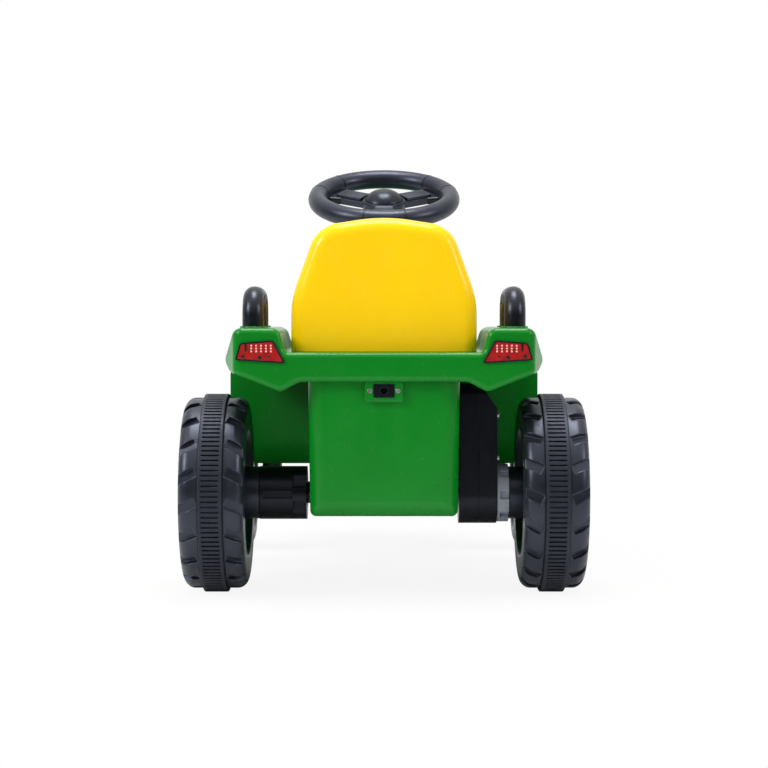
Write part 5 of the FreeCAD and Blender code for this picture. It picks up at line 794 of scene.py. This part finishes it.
@dataclass
class NoseTrim:
    """Frames and reflectors of the headlamps, and the louvres on both sides of the bonnet.

    Attributes:
        wardrobe: Materials of the toy.
        lamp_mm: Corners of the right headlamp's frame, X and Z.
        lamp_depth_mm: Y of the frame's rear and of its front.
        lamp_corner_mm: Radius of the frame's corners.
        lamp_border_mm: Width of the frame.
        reflector_mm: X, Z and radius of the right reflector, and the height of its step.
        reflector_steps: Share of the reflector's radius that each of its steps has.
        reflector_taper: Share of a step's radius that its front face has.
        reflector_faces: Faces round a step.
        louvre_mm: Length, height and thickness of a louvre.
        louvre_start_mm: X, Y and Z of the middle of the lowest louvre.
        louvre_step_mm: Steps of Y and Z from one louvre to the next.
        louvre_count: Louvres on each side.
        louvre_round_mm: Radius of a louvre's edges.
        louvre_faces: Faces across a rounded edge of a louvre.
    """

    wardrobe: Wardrobe
    lamp_mm: tuple[tuple[float, float], ...] = ((37.4, 211.2), (62.6, 221.6), (62.6, 250.6), (37.4, 250.6))
    lamp_depth_mm: tuple[float, float] = (311.6, 313.65)
    lamp_corner_mm: float = 3.4
    lamp_border_mm: float = 2.0
    reflector_mm: tuple[float, float, float, float] = (49.6, 234.6, 8.6, 0.45)
    reflector_steps: tuple[float, ...] = (1.0, 0.72, 0.34)
    reflector_taper: float = 0.9
    reflector_faces: int = 32
    louvre_mm: tuple[float, float, float] = (58.0, 5.0, 2.6)
    louvre_start_mm: tuple[float, float, float] = (83.2, 176.0, 206.0)
    louvre_step_mm: tuple[float, float] = (4.0, 11.0)
    louvre_count: int = 6
    louvre_round_mm: float = 1.2
    louvre_faces: int = 3

    def build(self) -> None:
        """Add the frames, reflectors and louvres."""
        for side in Side:
            corners = [(x * side.value, z) for x, z in self.lamp_mm]
            bezel = frame_strip(corners, self.lamp_depth_mm, self.lamp_corner_mm, self.lamp_border_mm)
            self.wardrobe.add_piece(f"headlamp_frame_{side.word}", bezel, "chassis", BLACK_TRIM)
            self.wardrobe.add_piece(f"headlamp_reflector_{side.word}", self.reflector(side), "chassis", ZINC_STEEL)
            self.wardrobe.add_piece(f"bonnet_louvres_{side.word}", self.louvres(side), "chassis", BLACK_TRIM)

    def reflector(self, side: Side) -> bmesh.types.BMesh:
        """Shallow stepped disc that shows through a headlamp.

        Args:
            side: Side of the headlamp.

        Returns:
            The disc.
        """
        shape = bmesh.new()
        x, z, radius, step = self.reflector_mm
        upright = Matrix.Rotation(math.radians(-90), 4, "X")
        for share in self.reflector_steps:
            place = Vector((x * side.value, self.lamp_depth_mm[1] - step * share, z)) * MM
            bmesh.ops.create_cone(shape, cap_ends=True, segments=self.reflector_faces, radius1=radius * share * MM,
                                  radius2=radius * share * self.reflector_taper * MM, depth=step * MM,
                                  matrix=Matrix.Translation(place) @ upright)
        return shape

    def louvres(self, side: Side) -> bmesh.types.BMesh:
        """Row of raised slats on one side of the bonnet.

        Args:
            side: Side of the bonnet.

        Returns:
            The slats in one mesh.
        """
        shape = bmesh.new()
        length, height, thick = self.louvre_mm
        x, y, z = self.louvre_start_mm
        size = Matrix.Diagonal((thick * MM, length * MM, height * MM, 1.0))
        for index in range(self.louvre_count):
            place = Vector((x * side.value, y + self.louvre_step_mm[0] * index, z + self.louvre_step_mm[1] * index))
            bmesh.ops.create_cube(shape, size=1.0, matrix=Matrix.Translation(place * MM) @ size)
        bmesh.ops.bevel(shape, geom=shape.edges, offset=self.louvre_round_mm * MM, offset_type="OFFSET",
                        segments=self.louvre_faces, profile=0.5, affect="EDGES", material=-1)
        return shape


@dataclass
class DashGauges:
    """Two round play gauges on the dashboard, beside the switches.

    Attributes:
        wardrobe: Materials of the toy.
        centre_mm: Middle of the right gauge's face.
        radius_mm: Radius of a face.
        face_mm: Thickness of a face.
        lip_mm: Radius of the lip's section.
        ticks: Number of scale marks.
        sweep: Angle from the first mark to the last, in degrees.
        tick_mm: Length and width of a mark.
        print_mm: Thickness of the marks and the needle.
        needle_mm: Length and width of the needle.
        needle_turn: How far the needle stands from upright, in degrees.
        boss_share: Share of the face's radius that its middle boss has.
        boss_rise: Height of the boss in thicknesses of the face.
        face_taper: Share of the radius that the upper side of face and boss has.
        face_faces: Faces round the face.
        lip_steps: Faces round the lip.
    """

    wardrobe: Wardrobe
    centre_mm: tuple[float, float, float] = (65.0, 36.6, 283.0)
    radius_mm: float = 11.0
    face_mm: float = 1.2
    lip_mm: float = 1.2
    ticks: int = 9
    sweep: float = 240.0
    tick_mm: tuple[float, float] = (2.6, 0.8)
    print_mm: float = 0.3
    needle_mm: tuple[float, float] = (7.5, 0.9)
    needle_turn: float = -70.0
    boss_share: float = 0.16
    boss_rise: float = 2.0
    face_taper: float = 0.96
    face_faces: int = 40
    lip_steps: int = 48

    def build(self) -> None:
        """Add face, lip, marks and needle of both gauges."""
        for side in Side:
            self.add(f"gauge_face_{side.word}", self.face(), side, BLACK_TRIM)
            self.add(f"gauge_lip_{side.word}", ring(self.radius_mm, self.lip_mm, self.lip_steps), side,
                     ZINC_STEEL)
            self.add(f"gauge_marks_{side.word}", self.marks(), side, WHITE_PRINT)
            self.add(f"gauge_needle_{side.word}", self.needle(), side, RED_LENS)

    def add(self, name: str, shape: bmesh.types.BMesh, side: Side, finish: Finish) -> None:
        """Stand a piece up against the dashboard, facing the rider.

        Args:
            name: Name of the piece.
            shape: Its shape about the Z axis, freed here.
            side: Side of the dashboard.
            finish: Its finish.
        """
        x, y, z = self.centre_mm
        stand = Matrix.Translation(Vector((x * side.value, y, z)) * MM) @ Matrix.Rotation(math.radians(90), 4, "X")
        bmesh.ops.transform(shape, matrix=stand, verts=shape.verts)
        self.wardrobe.add_piece(name, shape, "chassis", finish)

    def face(self) -> bmesh.types.BMesh:
        """Round face with a raised middle boss.

        Returns:
            The face.
        """
        shape = bmesh.new()
        boss = (self.radius_mm * self.boss_share, self.boss_rise * self.face_mm)
        for radius, thick in ((self.radius_mm, self.face_mm), boss):
            bmesh.ops.create_cone(shape, cap_ends=True, segments=self.face_faces, radius1=radius * MM,
                                  radius2=radius * MM * self.face_taper, depth=thick * MM,
                                  matrix=Matrix.Translation((0.0, 0.0, thick / 2 * MM)))
        return shape

    def bar(self, shape: bmesh.types.BMesh, turn: float, start: float, length: float, width: float) -> None:
        """Lay one flat bar on the face, along a line from the middle.

        Args:
            shape: Mesh that takes the bar.
            turn: Angle of the line from upright, in degrees.
            start: Distance of the bar's near end from the middle, in millimetres.
            length: Length of the bar in millimetres.
            width: Width of the bar in millimetres.
        """
        size = Matrix.Diagonal((width * MM, length * MM, self.print_mm * MM, 1.0))
        along = Matrix.Translation((0.0, (start + length / 2) * MM, (self.face_mm + self.print_mm / 2) * MM))
        bmesh.ops.create_cube(shape, size=1.0, matrix=Matrix.Rotation(math.radians(turn), 4, "Z") @ along @ size)

    def marks(self) -> bmesh.types.BMesh:
        """Scale marks round the face.

        Returns:
            The marks in one mesh.
        """
        shape = bmesh.new()
        length, width = self.tick_mm
        for index in range(self.ticks):
            turn = self.sweep * (index / (self.ticks - 1) - 0.5)
            self.bar(shape, turn, self.radius_mm - self.lip_mm - length, length, width)
        return shape

    def needle(self) -> bmesh.types.BMesh:
        """Needle that points at the scale.

        Returns:
            The needle.
        """
        shape = bmesh.new()
        self.bar(shape, self.needle_turn, 0.0, *self.needle_mm)
        return shape


@dataclass
class Drive:
    """Battery, motor, gear train and rear axle."""

    wardrobe: Wardrobe

    def build(self) -> None:
        """Dress the drive."""
        self.wardrobe.dress_nodes(BLACK_TRIM, "gearbox_inner_half", "gearbox_outer_half", "axle_spacer", "battery")
        self.wardrobe.dress_nodes(GREY_NYLON, "drive_ring")
        self.wardrobe.dress_nodes(GEAR_NYLON, "output_gear", "second_gear", "first_gear")
        self.wardrobe.dress_nodes(ZINC_STEEL, "battery_strap", "gear_shafts", "gearbox_screws", "drive_motor",
                                  "rear_axle", "axle_nuts", "motor_pinion")


@dataclass
class Controls:
    """Pedal and dashboard switches."""

    wardrobe: Wardrobe

    def build(self) -> None:
        """Dress the controls."""
        self.wardrobe.dress_nodes(BLACK_TRIM, "accelerator_pedal", "pedal_switch", "switch_bezel", "horn_button")
        self.wardrobe.dress_nodes(RED_LENS, "power_rocker", "direction_rocker")


@dataclass
class FrontAxle:
    """Front beam, knuckles and tie rod."""

    wardrobe: Wardrobe

    def build(self) -> None:
        """Dress the linkage."""
        self.wardrobe.dress_nodes(COATED_STEEL, "front_axle_beam", "steering_knuckle_left",
                                  "steering_knuckle_right", "tie_rod")
        self.wardrobe.dress_nodes(ZINC_STEEL, "knuckle_nuts_left", "knuckle_nuts_right")


@dataclass
class Studio:
    """White floor and backdrop, soft lights and the camera.

    Attributes:
        camera_place: Where the camera stands, in metres.
        camera_drop: How far it looks down, in degrees.
        lens_mm: Focal length.
        sensor_mm: Width of the sensor.
        floor_half: Half the width of the floor, in metres.
        floor_white: Share of plain white in what the camera sees of the floor; the rest shows the shadow.
        fade: Distances from the toy between which the floor fades to plain white, in metres.
        paper: Colour of the floor under the lamps, as sRGB hex.
        daylight: Strength of the world's light on matt surfaces.
        shine_ahead: Start and end of the way's Y over which the mirrored world brightens, and its strength there.
        shine_above: The same for the way's Z.
        aim: Point that the lamps look at, in metres.
        lamps: Name, place, width and power of each soft lamp.
    """

    camera_place: tuple[float, float, float] = (0.0, -2.211, 0.292)
    camera_drop: float = 2.2
    lens_mm: float = 90.5
    sensor_mm: float = 36.0
    floor_half: float = 1.5
    floor_white: float = 0.9
    fade: tuple[float, float] = (0.26, 0.55)
    paper: str = "#e4e4e4"
    daylight: float = 0.6
    shine_ahead: tuple[float, float, float, float] = (-0.3, 0.9, 0.03, 1.0)
    shine_above: tuple[float, float, float, float] = (0.25, 0.8, 0.0, 1.0)
    aim: tuple[float, float, float] = (0.0, -0.1, 0.22)
    lamps: tuple[tuple[str, tuple[float, float, float], float, float], ...] = (
        ("lamp_left", (-1.9, -1.3, 1.5), 0.8, 30.0),
        ("lamp_right", (2.0, -1.1, 1.3), 0.8, 14.0),
        ("lamp_top", (0.0, -0.1, 2.3), 0.9, 32.0),
    )

    def build(self) -> None:
        """Build floor, world, lamps and camera."""
        self.build_floor()
        self.build_world()
        for name, place, width, power in self.lamps:
            self.add_lamp(name, place, width, power)
        self.add_camera()
        bpy.context.scene.view_settings.view_transform = "Standard"

    def build_floor(self) -> None:
        """Lay a white floor that keeps the shadow of the toy."""
        shape = bmesh.new()
        bmesh.ops.create_grid(shape, x_segments=1, y_segments=1, size=self.floor_half)
        mesh = bpy.data.meshes.new("floor")
        shape.to_mesh(mesh)
        shape.free()
        floor = bpy.data.objects.new("floor", mesh)
        bpy.context.scene.collection.objects.link(floor)
        material = bpy.data.materials.new("white paper floor")
        material.use_nodes = True
        tree = material.node_tree
        tree.nodes.clear()
        seen = add_node(tree, "ShaderNodeLightPath").outputs["Is Camera Ray"]
        distance = add_node(tree, "ShaderNodeVectorMath", {
            0: add_node(tree, "ShaderNodeTexCoord").outputs["Object"]}, operation="LENGTH")
        fade = add_node(tree, "ShaderNodeMapRange", {
            "Value": distance.outputs["Value"], "From Min": self.fade[0], "From Max": self.fade[1],
            "To Min": self.floor_white, "To Max": 1.0})
        share = add_node(tree, "ShaderNodeMath", {0: seen, 1: fade.outputs["Result"]}, operation="MULTIPLY")
        paper = add_node(tree, "ShaderNodeBsdfDiffuse", {"Color": linear(self.paper)})
        white = add_node(tree, "ShaderNodeEmission", {"Color": linear(WHITE), "Strength": 1.0})
        mix = add_node(tree, "ShaderNodeMixShader", {0: share.outputs["Value"], 1: paper.outputs["BSDF"],
                                                     2: white.outputs["Emission"]})
        add_node(tree, "ShaderNodeOutputMaterial", {"Surface": mix.outputs["Shader"]})
        mesh.materials.append(material)

    def build_world(self) -> None:
        """White backdrop for the eye, dimmer towards the camera's side for reflections and for light."""
        world = bpy.data.worlds.new("white studio")
        world.use_nodes = True
        bpy.context.scene.world = world
        tree = world.node_tree
        tree.nodes.clear()
        path = add_node(tree, "ShaderNodeLightPath")
        glossy = add_node(tree, "ShaderNodeMath", {0: path.outputs["Is Glossy Ray"],
                                                   1: path.outputs["Is Transmission Ray"]}, operation="MAXIMUM")
        way = add_node(tree, "ShaderNodeSeparateXYZ", {
            "Vector": add_node(tree, "ShaderNodeTexCoord").outputs["Generated"]})
        ahead, above = (add_node(tree, "ShaderNodeMapRange", {
            "Value": way.outputs[axis], "From Min": span[0], "From Max": span[1],
            "To Min": span[2], "To Max": span[3]})
            for axis, span in (("Y", self.shine_ahead), ("Z", self.shine_above)))
        shine = add_node(tree, "ShaderNodeMath", {0: ahead.outputs["Result"], 1: above.outputs["Result"]},
                         operation="MAXIMUM")
        reflected = add_node(tree, "ShaderNodeMix", {
            "Factor": glossy.outputs["Value"], "A": self.daylight, "B": shine.outputs["Value"]}, data_type="FLOAT")
        seen = add_node(tree, "ShaderNodeMath", {0: path.outputs["Is Camera Ray"],
                                                 1: reflected.outputs["Result"]}, operation="MAXIMUM")
        light = add_node(tree, "ShaderNodeBackground", {"Color": linear(WHITE), "Strength": seen.outputs["Value"]})
        add_node(tree, "ShaderNodeOutputWorld", {"Surface": light.outputs["Background"]})

    def add_lamp(self, name: str, place: tuple[float, float, float], width: float, power: float) -> None:
        """Hang one soft lamp that looks at the toy.

        Args:
            name: Name of the lamp.
            place: Where it hangs, in metres.
            width: Side of its square face, in metres.
            power: Its power in watts.
        """
        lamp = bpy.data.lights.new(name, "AREA")
        lamp.size = width
        lamp.energy = power
        holder = bpy.data.objects.new(name, lamp)
        holder.location = place
        holder.rotation_euler = (Vector(self.aim) - Vector(place)).to_track_quat("-Z", "Y").to_euler()
        bpy.context.scene.collection.objects.link(holder)

    def add_camera(self) -> None:
        """Set up the camera behind the toy."""
        data = bpy.data.cameras.new("camera")
        data.lens = self.lens_mm
        data.sensor_width = self.sensor_mm
        camera = bpy.data.objects.new("camera", data)
        camera.location = self.camera_place
        camera.rotation_euler = (math.radians(90 - self.camera_drop), 0.0, 0.0)
        bpy.context.scene.collection.objects.link(camera)
        bpy.context.scene.camera = camera


def main() -> None:
    """Build every sub-assembly and the studio in order."""
    logging.basicConfig(level=logging.INFO, format="%(message)s")
    wardrobe = Wardrobe()
    assemblies = (
        Wheels(wardrobe), Bodywork(wardrobe), TailLamp(wardrobe, Side.LEFT), TailLamp(wardrobe, Side.RIGHT),
        SteeringWheel(wardrobe), NoseTrim(wardrobe), DashGauges(wardrobe), Drive(wardrobe), Controls(wardrobe),
        FrontAxle(wardrobe), Studio(),
    )
    for assembly in assemblies:
        assembly.build()


if __name__ == "__main__":
    main()
